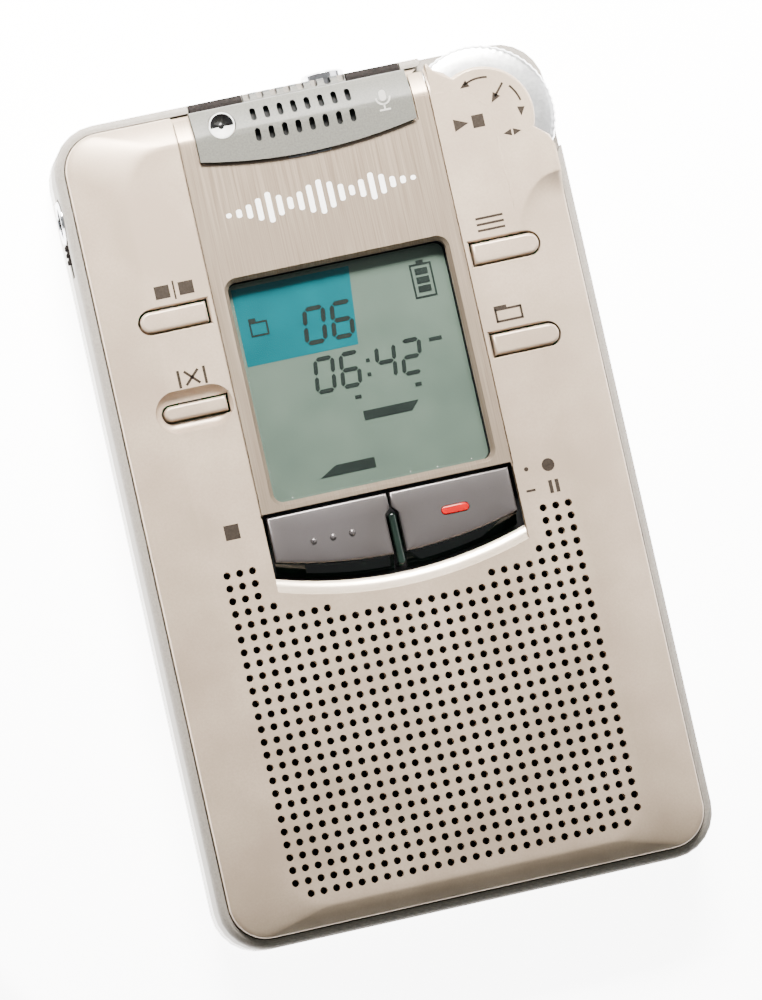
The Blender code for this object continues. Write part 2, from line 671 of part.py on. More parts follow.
def make_middle_frame():
    frame = rim_form("middle_frame", PART_LINE + SEAM)
    combine(frame, rim_cut("tool_rim_cut", 0.0))
    half = TRIM_WIDTH / 2 + SEAM
    combine(frame, block("tool_trim_gap", -half, half, TOP - TRIM_DEPTH - 0.5 * MM, TOP + FAR,
                         FACE_HEIGHT - LEDGE_DROP + TRIM_ABOVE_LEDGE - SEAM, FACE_HEIGHT + FAR))
    left, low = DIAL_X - CORNER_CUT_LEFT, DIAL_Y - CORNER_CUT_LOW
    corner = [(left, low), (RIGHT + FAR, low), (RIGHT + FAR, TOP + FAR), (left, TOP + FAR)]
    combine(frame, prism("tool_corner_frame", corner, DIAL_BOTTOM - DIAL_FLOOR_GAP, FACE_HEIGHT + FAR))
    combine(frame, dial_well("tool_dial_well_frame"))
    combine(frame, side_jack_tool("tool_side_jack_frame", JACK_RADIUS + SEAT_GAP))
    combine(frame, top_jack_tool("tool_top_jack_frame", JACK_RADIUS + SEAT_GAP))
    reach = HOLD_KNOB_LENGTH / 2 + HOLD_TRAVEL / 2 + SEAT_GAP
    combine(frame, block("tool_hold_slot", -RIGHT - FAR, -RIGHT + 4.0 * MM, HOLD_Y - reach, HOLD_Y + reach,
                         JACK_Z - HOLD_KNOB_HEIGHT / 2 - 0.2 * MM, JACK_Z + HOLD_KNOB_HEIGHT / 2 + 0.2 * MM))
    finish(frame, SILVER, 0.4, 0.3)


def make_top_trim():
    """Slotted insert in the middle of the top rim and a charcoal strip on each side of it."""
    spans = {
        "top_trim_left": (-TRIM_WIDTH / 2, -TRIM_GRILLE_WIDTH / 2 - SEAM, CHARCOAL),
        "top_mic_grille": (-TRIM_GRILLE_WIDTH / 2, TRIM_GRILLE_WIDTH / 2, GREY),
        "top_trim_right": (TRIM_GRILLE_WIDTH / 2 + SEAM, TRIM_WIDTH / 2, CHARCOAL),
    }
    for name, (x_low, x_high, colour) in spans.items():
        strip = rim_form(name, FACE_HEIGHT - LEDGE_DROP + TRIM_ABOVE_LEDGE)
        reach = block("tool_" + name, x_low, x_high, FACE_TOP + SEAM, TOP + FAR, 0, FACE_HEIGHT)
        combine(strip, reach, "INTERSECT")
        finish(strip, colour, 0.5)


def make_rear_case():
    """Back tub, cut for the sliding door and its tongues, the bay's mouth and the screw heads."""
    case = body_form("rear_case", [(0.0, PART_LINE)])
    inner = CASE_WALL
    combine(case, prism("tool_rear_hollow", body_outline(inner), BACK_FLOOR, PART_LINE + FAR))
    combine(case, door_form("tool_door_slot", DOOR_GAP))
    combine(case, block("tool_bay_mouth", -BAY_HALF, BAY_HALF, BAY_LOW + BAY_WALL, BAY_HIGH - BAY_WALL, -MM,
                        BACK_FLOOR + MM))
    combine(case, side_jack_tool("tool_side_jack_rear", JACK_RADIUS + SEAT_GAP))
    combine(case, top_jack_tool("tool_top_jack_rear", JACK_RADIUS + SEAT_GAP))
    for number, (x, y) in enumerate(SCREWS, 1):
        head = SCREW_HEAD + 0.2 * MM
        post = stack(f"tool_post_{number}", x, y, [(BOSS_RADIUS, 0.5 * MM), (BOSS_RADIUS, PART_LINE - 0.5 * MM)], 16)
        combine(case, post, "UNION")
        sink = stack(f"tool_sink_{number}", x, y, [(head, -MM), (head, HEAD_SINK)], 16)
        combine(case, sink)
        bore = SCREW_RADIUS + SEAT_GAP
        combine(case, stack(f"tool_rear_bore_{number}", x, y, [(bore, 0), (bore, PART_LINE + MM)], 12))
    finish(case, SILVER, 0.45, 0.2)


def door_form(name, grow):
    """Door plate with a tongue along each side, run out past the bottom end."""
    half = DOOR_WIDTH / 2 + grow
    wide = half + DOOR_TONGUE
    step = DOOR_THICK / 2 - grow
    outline = [(-half, -MM if grow else 0.0), (half, -MM if grow else 0.0), (half, step), (wide, step),
               (wide, DOOR_THICK + grow / 2), (-wide, DOOR_THICK + grow / 2), (-wide, step), (-half, step)]
    near, far = -TOP - MM, BAY_HIGH + DOOR_LAP + grow
    rings = [[(x, y, z) for x, z in outline] for y in (far, near)]
    return loft(name, rings)


def make_battery_door():
    """Door, shaped to the back's rounded bottom edge, with finger ribs near its bottom end."""
    door = door_form("battery_door", 0.0)
    combine(door, body_form("tool_door_skin", [(0.0, PART_LINE)]), "INTERSECT")
    for rib in range(GRIP_COUNT):
        y = -TOP + GRIP_FROM_BOTTOM + rib * GRIP_PITCH
        groove = block(f"tool_grip_{rib}", -GRIP_WIDTH / 2, GRIP_WIDTH / 2, y, y + GRIP_GROOVE, -MM, GRIP_DEPTH)
        combine(door, groove)
    finish(door, SILVER, 0.45, 0.2)


def make_screws():
    for number, (x, y) in enumerate(SCREWS, 1):
        tip = BOSS_TOP - BOSS_CAP - SEAT_GAP
        neck = HEAD_LOW + HEAD_THICK
        screw = stack(f"case_screw_{number}", x, y,
                      [(SCREW_HEAD, HEAD_LOW), (SCREW_HEAD, neck), (SCREW_RADIUS, neck + 0.01 * MM), (SCREW_RADIUS, tip)],
                      12)
        for name, across, along in (("a", CROSS_ARM, CROSS_WIDTH / 2), ("b", CROSS_WIDTH / 2, CROSS_ARM)):
            combine(screw, block(f"tool_cross_{name}_{number}", x - across, x + across, y - along, y + along, 0,
                                 HEAD_LOW + CROSS_DEPTH))
        finish(screw, STEEL, 0.3, 1.0)


# Display


def make_display():
    top = FACE_HEIGHT - WINDOW_DROP
    pane = prism("display_window", window_outline(-SEAT_GAP), top - WINDOW_THICK, top)
    finish(pane, (0.8, 0.85, 0.83), 0.08)
    glass_top = top - WINDOW_THICK - 0.2 * MM
    glass = prism("display_glass", window_outline(-0.1 * MM), glass_top - DISPLAY_THICK, glass_top)
    finish(glass, (0.38, 0.42, 0.38), 0.2)
    guide_top = glass_top - DISPLAY_THICK - 0.1 * MM
    guide = prism("light_guide", window_outline(-0.4 * MM), guide_top - LIGHT_GUIDE_THICK, guide_top)
    finish(guide, (0.8, 0.82, 0.78), 0.3)
    holder = prism("display_holder", window_outline(HOLDER_RIM / 4), BOARD_TOP + BOARD_SEAT, glass_top)
    combine(holder, prism("tool_holder", window_outline(0.05 * MM), 0, FACE_HEIGHT))
    finish(holder, BLACK, 0.6)
    y = KEY_LINE + WINDOW_ABOVE_KEYS + WINDOW_LENGTH + HOLDER_RIM / 4 + 0.3 * MM
    strip = block("display_connector", -10.0 * MM, 10.0 * MM, y, y + 1.2 * MM, BOARD_TOP + BOARD_SEAT,
                  BOARD_TOP + 1.4 * MM)
    finish(strip, (0.05, 0.05, 0.06), 0.7)


# Keys


def key_outline(side, edge_depth, bow, inner, outer):
    """One key's outline: flat upper edge, bowed lower edge; side is -1 for the left key."""
    half = PANEL_RIGHT
    x_low, x_high = (inner, outer) if side > 0 else (-outer, -inner)
    return bowed(x_low, x_high, KEY_LINE - KEY_GAP, edge_depth, bow, half, 8)


def make_key(label, side):
    """Metal-look cap on a dark body whose front face slopes out to the recess's edge."""
    outer = PANEL_RIGHT - KEY_GAP
    inner = RIB_WIDTH / 2 + RIB_GAP
    top = FACE_HEIGHT - KEY_TOP_DROP
    split = top - KEY_CAP_THICK
    foot_side = KEY_RECESS_SIDE - KEY_GAP - BUTTON_GAP
    cap = loft(label + "_key", [
        at_height(key_outline(side, KEY_TOP_SIDE, KEY_TOP_BOW, inner, outer), split + 0.02 * MM),
        at_height(key_outline(side, KEY_TOP_SIDE, KEY_TOP_BOW, inner, outer), top - 0.2 * MM),
        at_height(key_outline(side, KEY_TOP_SIDE - 0.3 * MM, KEY_TOP_BOW, inner + 0.2 * MM, outer - 0.2 * MM), top),
    ])
    body = loft(label + "_key_base", [
        at_height(key_outline(side, foot_side, KEY_RECESS_BOW, inner, outer), DOME_TOP + KEY_TRAVEL + 0.1 * MM),
        at_height(key_outline(side, foot_side, KEY_RECESS_BOW, inner, outer), split - 1.1 * MM),
        at_height(key_outline(side, KEY_TOP_SIDE, KEY_TOP_BOW, inner, outer), split - 0.28 * MM),
    ])
    if label == "stop":
        for dot in range(3):
            x, y = -lens_x() + (dot - 1) * DOT_PITCH, KEY_LINE - KEY_MARK_DROP
            bump = stack(f"tool_dot_{dot}", x, y, [(DOT_RADIUS, top - 0.5 * MM), (DOT_RADIUS, top + 0.1 * MM),
                                                   (DOT_RADIUS / 2, top + 0.25 * MM)], 10)
            combine(cap, bump, "UNION")
    else:
        combine(cap, lens_form("tool_rec_lens", 0.1 * MM, split - MM, top + MM))
        lens = lens_form("rec_lens", 0.0, top - 0.7 * MM, top + 0.1 * MM)
        finish(lens, (0.6, 0.02, 0.02), 0.15)
        set_origin(lens, (0, KEY_LINE, split))
    finish(cap, LILAC, 0.3, 0.7)
    finish(body, BLACK, 0.2)
    for piece in (cap, body):
        set_origin(piece, (0, KEY_LINE, split))
    make_dome(label + "_dome", side * lens_x(), KEY_LINE - KEY_MARK_DROP)


def lens_x():
    """Middle of a key's width, where the record key has its lens."""
    return (PANEL_RIGHT - KEY_GAP + RIB_WIDTH / 2 + RIB_GAP) / 2


def lens_form(name, grow, low, high):
    x, y = lens_x(), KEY_LINE - KEY_MARK_DROP
    radius = LENS_WIDTH / 2 + grow
    outline = rounded(x - LENS_LENGTH / 2 - grow, x + LENS_LENGTH / 2 + grow, y - radius, y + radius,
                      radius - 0.01 * MM, 5)
    return prism(name, outline, low, high)


def make_key_divider():
    half = RIB_WIDTH / 2
    low = KEY_LINE - KEY_RECESS_SIDE - KEY_RECESS_BOW + 0.5 * MM
    rib = block("key_divider", -half, half, low, KEY_LINE - KEY_GAP, BOARD_TOP + BOARD_SEAT, FACE_HEIGHT - RIB_DROP)
    finish(rib, BLACK, 0.5)


def make_side_button(label, side, above_keys, length, width):
    """Button with a flange that keeps it in the case, over its dome."""
    outline = side_button_outline(side, above_keys, length, width, -BUTTON_GAP)
    inner = side_button_outline(side, above_keys, length, width, -BUTTON_GAP - 0.15 * MM)
    flange = side_button_outline(side, above_keys, length, width, BUTTON_FLANGE - BUTTON_GAP)
    top = FACE_HEIGHT + 0.1 * MM
    if label == "erase":
        top = FACE_HEIGHT - 0.2 * MM
    foot = DOME_TOP + BUTTON_TRAVEL + 0.15 * MM
    brim = foot + 0.45 * MM
    piece = loft(label + "_button", [
        at_height(flange, foot), at_height(flange, brim), at_height(outline, brim + 0.02 * MM),
        at_height(outline, top - 0.15 * MM), at_height(inner, top)])
    x = side * (PANEL_RIGHT + SIDE_BUTTON_GAP + length / 2)
    y = KEY_LINE + above_keys
    finish(piece, SILVER, 0.35, 0.3)
    set_origin(piece, (x, y, foot))
    make_dome(label + "_dome", x, y)


def make_dome(name, x, y):
    dome = stack(name, x, y, [(DOME_RADIUS, BOARD_TOP + BOARD_SEAT), (DOME_RADIUS * 0.8, BOARD_TOP + 0.2 * MM),
                              (DOME_RADIUS * 0.4, DOME_TOP)], 12)
    finish(dome, STEEL, 0.25, 1.0)


# Dial


def make_dial():
    """Ring-shaped dial under the lobe, its axle and the carrier that lets it be pushed inwards."""
    edge = 0.3 * MM
    bore = AXLE_RADIUS + SEAT_GAP
    dial = turned("jog_dial", [
        (bore, DIAL_BOTTOM), (bore, DIAL_TOP), (LOBE_RADIUS + 0.4 * MM, DIAL_TOP),
        (DIAL_RADIUS - edge, DIAL_TOP - edge), (DIAL_RADIUS, DIAL_TOP - 2 * edge),
        (DIAL_RADIUS, DIAL_BOTTOM + edge), (DIAL_RADIUS - edge, DIAL_BOTTOM)], 40)
    shift(dial, DIAL_X, DIAL_Y, 0)
    finish(dial, (0.62, 0.62, 0.64), 0.35, 0.6)
    set_origin(dial, (DIAL_X, DIAL_Y, DIAL_BOTTOM))
    plate_top = DIAL_BOTTOM - SEAT_GAP
    axle = stack("dial_axle", DIAL_X, DIAL_Y, [(AXLE_RADIUS, plate_top + 0.02 * MM), (AXLE_RADIUS, DIAL_TOP - 0.3 * MM)],
                 20)
    finish(axle, STEEL, 0.3, 1.0)
    plate_low = plate_top - CARRIER_THICK
    carrier = stack("dial_carrier", DIAL_X, DIAL_Y, [(CARRIER_RADIUS, plate_low), (CARRIER_RADIUS, plate_top)], 20)
    finish(carrier, BLACK, 0.5)
    for piece in (axle, carrier):
        set_origin(piece, (DIAL_X, DIAL_Y, plate_top))
    top = plate_low - SEAT_GAP
    half = ENCODER_WIDTH / 2
    encoder = block("dial_encoder", DIAL_X - half, DIAL_X + half, DIAL_Y - half, DIAL_Y + half,
                    BACK_FLOOR + SEAT_GAP, top)
    finish(encoder, BLACK, 0.5)


# Jacks and hold switch


def jack_parts(name, matrix, proud, depth):
    """Jack block with its bore, and the chrome collar round the mouth, built along Z and then turned into place."""
    half, high = JACK_BLOCK_WIDTH / 2, JACK_BLOCK_HEIGHT / 2
    back = CASE_WALL + RIM_WIDTH
    block_piece = block(name + "_jack", -half, half, -high, high, -depth, -back - 0.4 * MM)
    bore = stack("tool_" + name + "_bore", 0, 0, [(JACK_BORE, -depth + MM), (JACK_BORE, MM)], 20)
    collar = turned(name + "_collar", [
        (JACK_BORE, -back - 0.2 * MM), (JACK_BORE, proud - 0.15 * MM), (JACK_BORE + 0.15 * MM, proud),
        (JACK_RADIUS - 0.2 * MM, proud), (JACK_RADIUS, proud - 0.2 * MM), (JACK_RADIUS, -back - 0.2 * MM)], 20)
    for piece in (block_piece, bore, collar):
        reshape(piece, matrix)
    combine(block_piece, bore)
    finish(block_piece, BLACK, 0.5)
    finish(collar, STEEL, 0.12, 1.0)


def make_jacks():
    side = Matrix.Translation((-RIGHT, SIDE_JACK_Y, JACK_Z))
    side = side @ Matrix.Rotation(-math.pi / 2, 4, "Y") @ Matrix.Rotation(math.pi / 2, 4, "Z")
    jack_parts("earphone", side, SIDE_JACK_PROUD, JACK_DEPTH)
    top = Matrix.Translation((TOP_JACK_X, TOP, JACK_Z)) @ Matrix.Rotation(-math.pi / 2, 4, "X")
    jack_parts("microphone", top, TOP_JACK_PROUD, JACK_DEPTH)


def make_hold_switch():
    half = HOLD_KNOB_LENGTH / 2
    rest = HOLD_Y + HOLD_TRAVEL / 2
    knob = block("hold_slider", -RIGHT - HOLD_PROUD, -RIGHT + HOLD_DEPTH, rest - half, rest + half,
                 JACK_Z - HOLD_KNOB_HEIGHT / 2, JACK_Z + HOLD_KNOB_HEIGHT / 2)
    for ridge in range(2):
        y = rest + (ridge - 0.5) * HOLD_RIDGE_PITCH
        combine(knob, block(f"tool_ridge_{ridge}", -RIGHT - FAR, -RIGHT - HOLD_PROUD + 0.15 * MM, y - 0.15 * MM,
                            y + 0.15 * MM, 0, FACE_HEIGHT))
    finish(knob, CHARCOAL, 0.5)
    set_origin(knob, (-RIGHT, rest, JACK_Z))
    high = SIDE_JACK_Y - JACK_BLOCK_WIDTH / 2 - SEAT_GAP
    near = -RIGHT + HOLD_DEPTH + SEAT_GAP
    switch = block("hold_switch", near, near + HOLD_SWITCH_WIDTH, high - HOLD_SWITCH_LENGTH, high,
                   JACK_Z - HOLD_SWITCH_HEIGHT / 2, JACK_Z + HOLD_SWITCH_HEIGHT / 2)
    finish(switch, STEEL, 0.4, 0.8)


# Board, loudspeaker, microphone


def make_board():
    half = RIGHT - RIM_WIDTH - CASE_WALL - 0.4 * MM
    low, high = KEY_LINE - BOARD_BELOW_KEYS, TOP - RIM_WIDTH - CASE_WALL - 0.4 * MM
    board = prism("main_board", rounded(-half, half, low, high, 2.0 * MM, 2), BOARD_BOTTOM, BOARD_TOP)
    reach = DIAL_WELL + 0.8 * MM
    combine(board, block("tool_board_dial", DIAL_X - reach, RIGHT, DIAL_Y - reach, TOP, 0, FACE_HEIGHT))
    jack = JACK_BLOCK_WIDTH / 2 + SEAT_GAP
    low = SIDE_JACK_Y - jack - HOLD_SWITCH_LENGTH - SEAT_GAP
    combine(board, block("tool_board_side", -RIGHT, -RIGHT + JACK_DEPTH + SEAT_GAP, low, SIDE_JACK_Y + jack, 0,
                         FACE_HEIGHT))
    combine(board, block("tool_board_top", TOP_JACK_X - jack, TOP_JACK_X + jack, TOP - JACK_DEPTH - SEAT_GAP, TOP, 0,
                         FACE_HEIGHT))
    for number, (x, y) in enumerate(SCREWS[2:], 1):
        combine(board, stack(f"tool_board_boss_{number}", x, y, [(BOSS_RADIUS + SEAT_GAP, 0),
                                                               (BOSS_RADIUS + SEAT_GAP, FACE_HEIGHT)], 16))
    finish(board, (0.03, 0.16, 0.08), 0.45)
    chips = {"memory_chip": (-6.0, 22.0, 9.0, 6.0), "processor_chip": (-6.0, 34.0, 5.0, 4.5),
             "audio_chip": (9.0, 22.0, 4.5, 2.5)}
    for name, (x, above, half_x, half_y) in chips.items():
        y = KEY_LINE + above * MM
        chip = block(name, (x - half_x) * MM, (x + half_x) * MM, y - half_y * MM, y + half_y * MM,
                     BOARD_BOTTOM - BOARD_SEAT - CHIP_THICK, BOARD_BOTTOM - BOARD_SEAT)
        finish(chip, BLACK, 0.5)


def make_speaker():
    top = ROOF - CLOTH_THICK - 2 * SEAM
    low = top - SPEAKER_HEIGHT
    radius = SPEAKER_RADIUS
    edge = radius - SPEAKER_FLANGE - 1.2 * MM
    frame = turned("speaker_frame", [
        (radius - SPEAKER_FLANGE, top), (radius, top), (radius, top - 0.8 * MM),
        (radius - SPEAKER_FLANGE - 0.2 * MM, top - 0.9 * MM), (MAGNET_RADIUS + 1.2 * MM, low + 0.4 * MM),
        (MAGNET_RADIUS + SEAT_GAP, low + 0.4 * MM), (MAGNET_RADIUS + SEAT_GAP, low + 0.9 * MM),
        (radius - SPEAKER_FLANGE - 0.8 * MM, top - 0.5 * MM)], 32)
    cone = turned("speaker_cone", [
        (edge + 0.7 * MM, top - 0.05 * MM), (edge, top - 0.4 * MM), (MAGNET_RADIUS, low + MAGNET_THICK + 0.5 * MM),
        (CONE_BORE, low + MAGNET_THICK + 0.9 * MM), (CONE_BORE, low + MAGNET_THICK + 1.2 * MM),
        (MAGNET_RADIUS, low + MAGNET_THICK + 0.8 * MM), (edge, top - 0.1 * MM)], 32)
    magnet = stack("speaker_magnet", 0, SPEAKER_Y, [(MAGNET_RADIUS, low), (MAGNET_RADIUS, low + MAGNET_THICK)], 24)
    for piece in (frame, cone):
        shift(piece, 0, SPEAKER_Y, 0)
    finish(frame, STEEL, 0.4, 0.9)
    finish(cone, (0.05, 0.05, 0.05), 0.7)
    finish(magnet, (0.3, 0.3, 0.3), 0.4, 0.8)
    make_grille_cloth()


def make_grille_cloth():
    half = GRILLE_WIDTH / 2
    recess = PANEL_RIGHT + CLOTH_MARGIN
    low, shoulder = -TOP + GRILLE_FROM_BOTTOM, KEY_LINE - GRILLE_SIDE_TOP
    middle = KEY_LINE - KEY_RECESS_SIDE - KEY_RECESS_BOW - CLOTH_MARGIN
    outline = [(-half, low), (half, low), (half, shoulder), (recess, shoulder), (recess, middle), (-recess, middle),
               (-recess, shoulder), (-half, shoulder)]
    cloth = prism("grille_cloth", outline, ROOF - SEAM - CLOTH_THICK, ROOF - SEAM)
    finish(cloth, BLACK, 0.9)


def make_microphone():
    top = FACE_HEIGHT - 0.85 * MM
    capsule = stack("microphone_capsule", 0, TOP - CAPSULE_FROM_TOP,
                    [(CAPSULE_RADIUS, top - 1.5 * MM), (CAPSULE_RADIUS, top)], 20)
    finish(capsule, STEEL, 0.3, 0.9)


# Battery


def make_battery():
    high = BATTERY_LOW + BATTERY_LENGTH
    half = BATTERY_WIDTH / 2
    pack = prism("battery_pack", rounded(-half, half, BATTERY_LOW, high, 1.5 * MM, 3), BATTERY_Z,
                 BATTERY_Z + BATTERY_THICK)
    finish(pack, (0.06, 0.07, 0.09), 0.4)
    inner, outer = BAY_HALF, BAY_HALF + BAY_WALL
    bay = block("battery_bay", -outer, outer, BAY_LOW, BAY_HIGH, BACK_FLOOR + 0.1 * MM, BAY_ROOF + BAY_WALL)
    combine(bay, block("tool_bay", -inner, inner, BAY_LOW + BAY_WALL, BAY_HIGH - BAY_WALL, 0, BAY_ROOF))
    finish(bay, BLACK, 0.6)
    for name, x in (("minus", -CONTACT_PITCH), ("sense", 0.0), ("plus", CONTACT_PITCH)):
        back = BAY_HIGH - BAY_WALL - 0.1 * MM
        tip = high + SEAT_GAP
        bend = BATTERY_Z + BATTERY_THICK / 2
        outline = [(tip, bend), (back - 0.35 * MM, bend - 1.6 * MM), (back, bend - 1.6 * MM), (back, bend + 1.6 * MM),
                   (back - 0.35 * MM, bend + 1.6 * MM)]
        rings = [[(x + side, y, z) for y, z in outline] for side in (-CONTACT_WIDTH / 2, CONTACT_WIDTH / 2)]
        blade = loft("battery_contact_" + name, rings)
        finish(blade, GOLD, 0.25, 1.0)


def main():
    clear_scene()
    make_front_case()
    make_centre_panel()
    make_mic_cover()
    make_indicator()
    make_middle_frame()
    make_top_trim()
    make_rear_case()
    make_battery_door()
    make_screws()
    make_display()
    make_key("stop", -1)
    make_key("rec", 1)
    make_key_divider()
    for label, values in SIDE_BUTTONS.items():
        make_side_button(label, *values)
    make_dial()
    make_jacks()
    make_hold_switch()
    make_board()
    make_speaker()
    make_microphone()
    make_battery()


main()
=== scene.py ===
"""Handheld voice recorder, face up: its looks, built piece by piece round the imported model."""

import math

import bmesh
import bpy
import numpy as np
from mathutils import Matrix, Vector


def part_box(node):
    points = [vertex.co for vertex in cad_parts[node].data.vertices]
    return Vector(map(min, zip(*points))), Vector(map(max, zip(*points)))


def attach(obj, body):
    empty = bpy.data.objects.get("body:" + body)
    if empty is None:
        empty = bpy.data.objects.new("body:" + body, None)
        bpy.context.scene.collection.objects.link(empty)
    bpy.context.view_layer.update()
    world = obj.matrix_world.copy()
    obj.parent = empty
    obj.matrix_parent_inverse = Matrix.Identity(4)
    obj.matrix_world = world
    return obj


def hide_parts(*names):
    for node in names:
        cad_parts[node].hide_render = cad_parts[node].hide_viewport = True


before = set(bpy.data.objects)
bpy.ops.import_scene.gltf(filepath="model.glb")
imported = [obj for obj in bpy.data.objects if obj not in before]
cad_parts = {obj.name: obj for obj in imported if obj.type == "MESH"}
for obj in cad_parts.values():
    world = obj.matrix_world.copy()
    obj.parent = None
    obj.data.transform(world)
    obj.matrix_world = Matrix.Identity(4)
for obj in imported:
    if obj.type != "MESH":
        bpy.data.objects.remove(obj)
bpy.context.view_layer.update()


# Camera, light and table
# A long lens looks down on the face from a little to its left and below, turned so that the recorder leans.
# The light is a white tent: a broad soft lamp beyond the microphone end and a pale room round it.

def linear(hex_colour):
    """sRGB hex to linear RGBA: a straight line under 0.04045 and a power of 2.4 above it."""
    srgb = np.array([int(hex_colour[i:i + 2], 16) / 255 for i in (1, 3, 5)])
    value = np.where(srgb <= 0.04045, srgb / 12.92, ((srgb + 0.055) / 1.055) ** 2.4)
    return (*(float(v) for v in value), 1.0)


def add_node(tree, kind, inputs=None, **settings):
    """Adds a node; inputs holds values or sockets to link, by the input's name or number."""
    made = tree.nodes.new(kind)
    for name, value in settings.items():
        setattr(made, name, value)
    for name, value in (inputs or {}).items():
        if isinstance(value, bpy.types.NodeSocket):
            tree.links.new(value, made.inputs[name])
        else:
            made.inputs[name].default_value = value
    return made


def start_material(name):
    """A fresh material with a Principled shader; gives back the material, its tree and the shader."""
    material = bpy.data.materials.new(name)
    material.use_nodes = True
    tree = material.node_tree
    shader = tree.nodes["Principled BSDF"]
    return material, tree, shader


def mesh_piece(name, points, faces):
    """Object in the scene with a mesh of these points and faces, both called name."""
    mesh = bpy.data.meshes.new(name)
    mesh.from_pydata(points, [], faces)
    piece = bpy.data.objects.new(name, mesh)
    bpy.context.scene.collection.objects.link(piece)
    return piece


MM = 0.001
camera_data = bpy.data.cameras.new("camera")
camera_data.lens = 234.9
camera_data.sensor_width = 36.0
camera_data.clip_start = 0.05
camera_data.clip_end = 20.0
camera = bpy.data.objects.new("camera", camera_data)
camera.matrix_world = Matrix((
    (0.96874, 0.20906, -0.13355, -93.06 * MM),
    (-0.21904, 0.97356, -0.06483, -45.73 * MM),
    (0.11647, 0.09206, 0.98892, 696.02 * MM),
    (0.0, 0.0, 0.0, 1.0)))
bpy.context.scene.collection.objects.link(camera)
bpy.context.scene.camera = camera


def add_lamp(name, place, aim, size, watts, colour, spread=180):
    """Rectangular area lamp at place, its light turned towards aim and held within spread degrees."""
    data = bpy.data.lights.new(name, "AREA")
    data.shape = "RECTANGLE"
    data.size, data.size_y = size
    data.energy = watts
    data.spread = math.radians(spread)
    data.color = linear(colour)[:3]
    lamp = bpy.data.objects.new(name, data)
    direction = np.array(aim) - np.array(place)
    lamp.rotation_euler = Vector(direction).to_track_quat("-Z", "Y").to_euler()
    lamp.location = place
    bpy.context.scene.collection.objects.link(lamp)


add_lamp("key_light", (0.02, 0.34, 0.26), (0.01, 0.125, 0), (0.42, 0.20), 3.3, "#fffdf8", 36)
add_lamp("right_light", (0.45, 0.10, 0.30), (0, 0, 0), (0.25, 0.35), 1.2, "#ffffff")

world = bpy.data.worlds.new("pale_room")
bpy.context.scene.world = world
world.use_nodes = True
world.node_tree.nodes["Background"].inputs["Color"].default_value = linear("#f7f8f9")
world.node_tree.nodes["Background"].inputs["Strength"].default_value = 0.42

table_material, tree, shader = start_material("lit_white_acrylic")
coords = add_node(tree, "ShaderNodeTexCoord").outputs["Object"]
grain = add_node(tree, "ShaderNodeTexNoise", {"Vector": coords, "Scale": 60.0, "Detail": 3.0})
rough = add_node(tree, "ShaderNodeMapRange", {"Value": grain.outputs["Fac"], "To Min": 0.55, "To Max": 0.65})
tree.links.new(rough.outputs["Result"], shader.inputs["Roughness"])
shader.inputs["Base Color"].default_value = linear("#fdfdfd")
shader.inputs["Emission Color"].default_value = linear("#ffffff")
shader.inputs["Emission Strength"].default_value = 8.0
table_reach, table_drop = 3.0, 0.2 * MM
table_corners = [(-1, -1), (1, -1), (1, 1), (-1, 1)]
floor = mesh_piece("table", [(x * table_reach, y * table_reach, -table_drop) for x, y in table_corners],
                   [(0, 1, 2, 3)])
floor.data.materials.append(table_material)

# A folded black card stands round the bottom end, so that the slopes that face it turn dark.
# It is hidden from the camera itself.
card_material, tree, shader = start_material("black_card")
shader.inputs["Base Color"].default_value = linear("#141a12")
shader.inputs["Roughness"].default_value = 0.9
card_folds = [(-0.052, -0.032), (-0.036, -0.058), (0.036, -0.058), (0.052, -0.032)]
card_low, card_high = 0.005, 0.070
card = mesh_piece("card", [(x, y, z) for z in (card_low, card_high) for x, y in card_folds],
                  [(i, i + 1, i + 5, i + 4) for i in range(3)])
card.data.materials.append(card_material)
card.visible_camera = False


# Rear case, battery door, middle frame and screws
# The tub and the band over it are injection-moulded ABS, sprayed with a champagne metallic lacquer.
# Four cross-head screws hold them to the face; the door slides off towards the bottom end.

def colour_ramp(tree, factor, stops):
    """Colour ramp through (position, hex colour) stops, driven by factor."""
    made = add_node(tree, "ShaderNodeValToRGB", {"Fac": factor})
    ramp = made.color_ramp
    while len(ramp.elements) < len(stops):
        ramp.elements.new(0.5)
    for element, (position, colour) in zip(ramp.elements, stops):
        element.position = position
        element.color = linear(colour)
    return made.outputs["Color"]


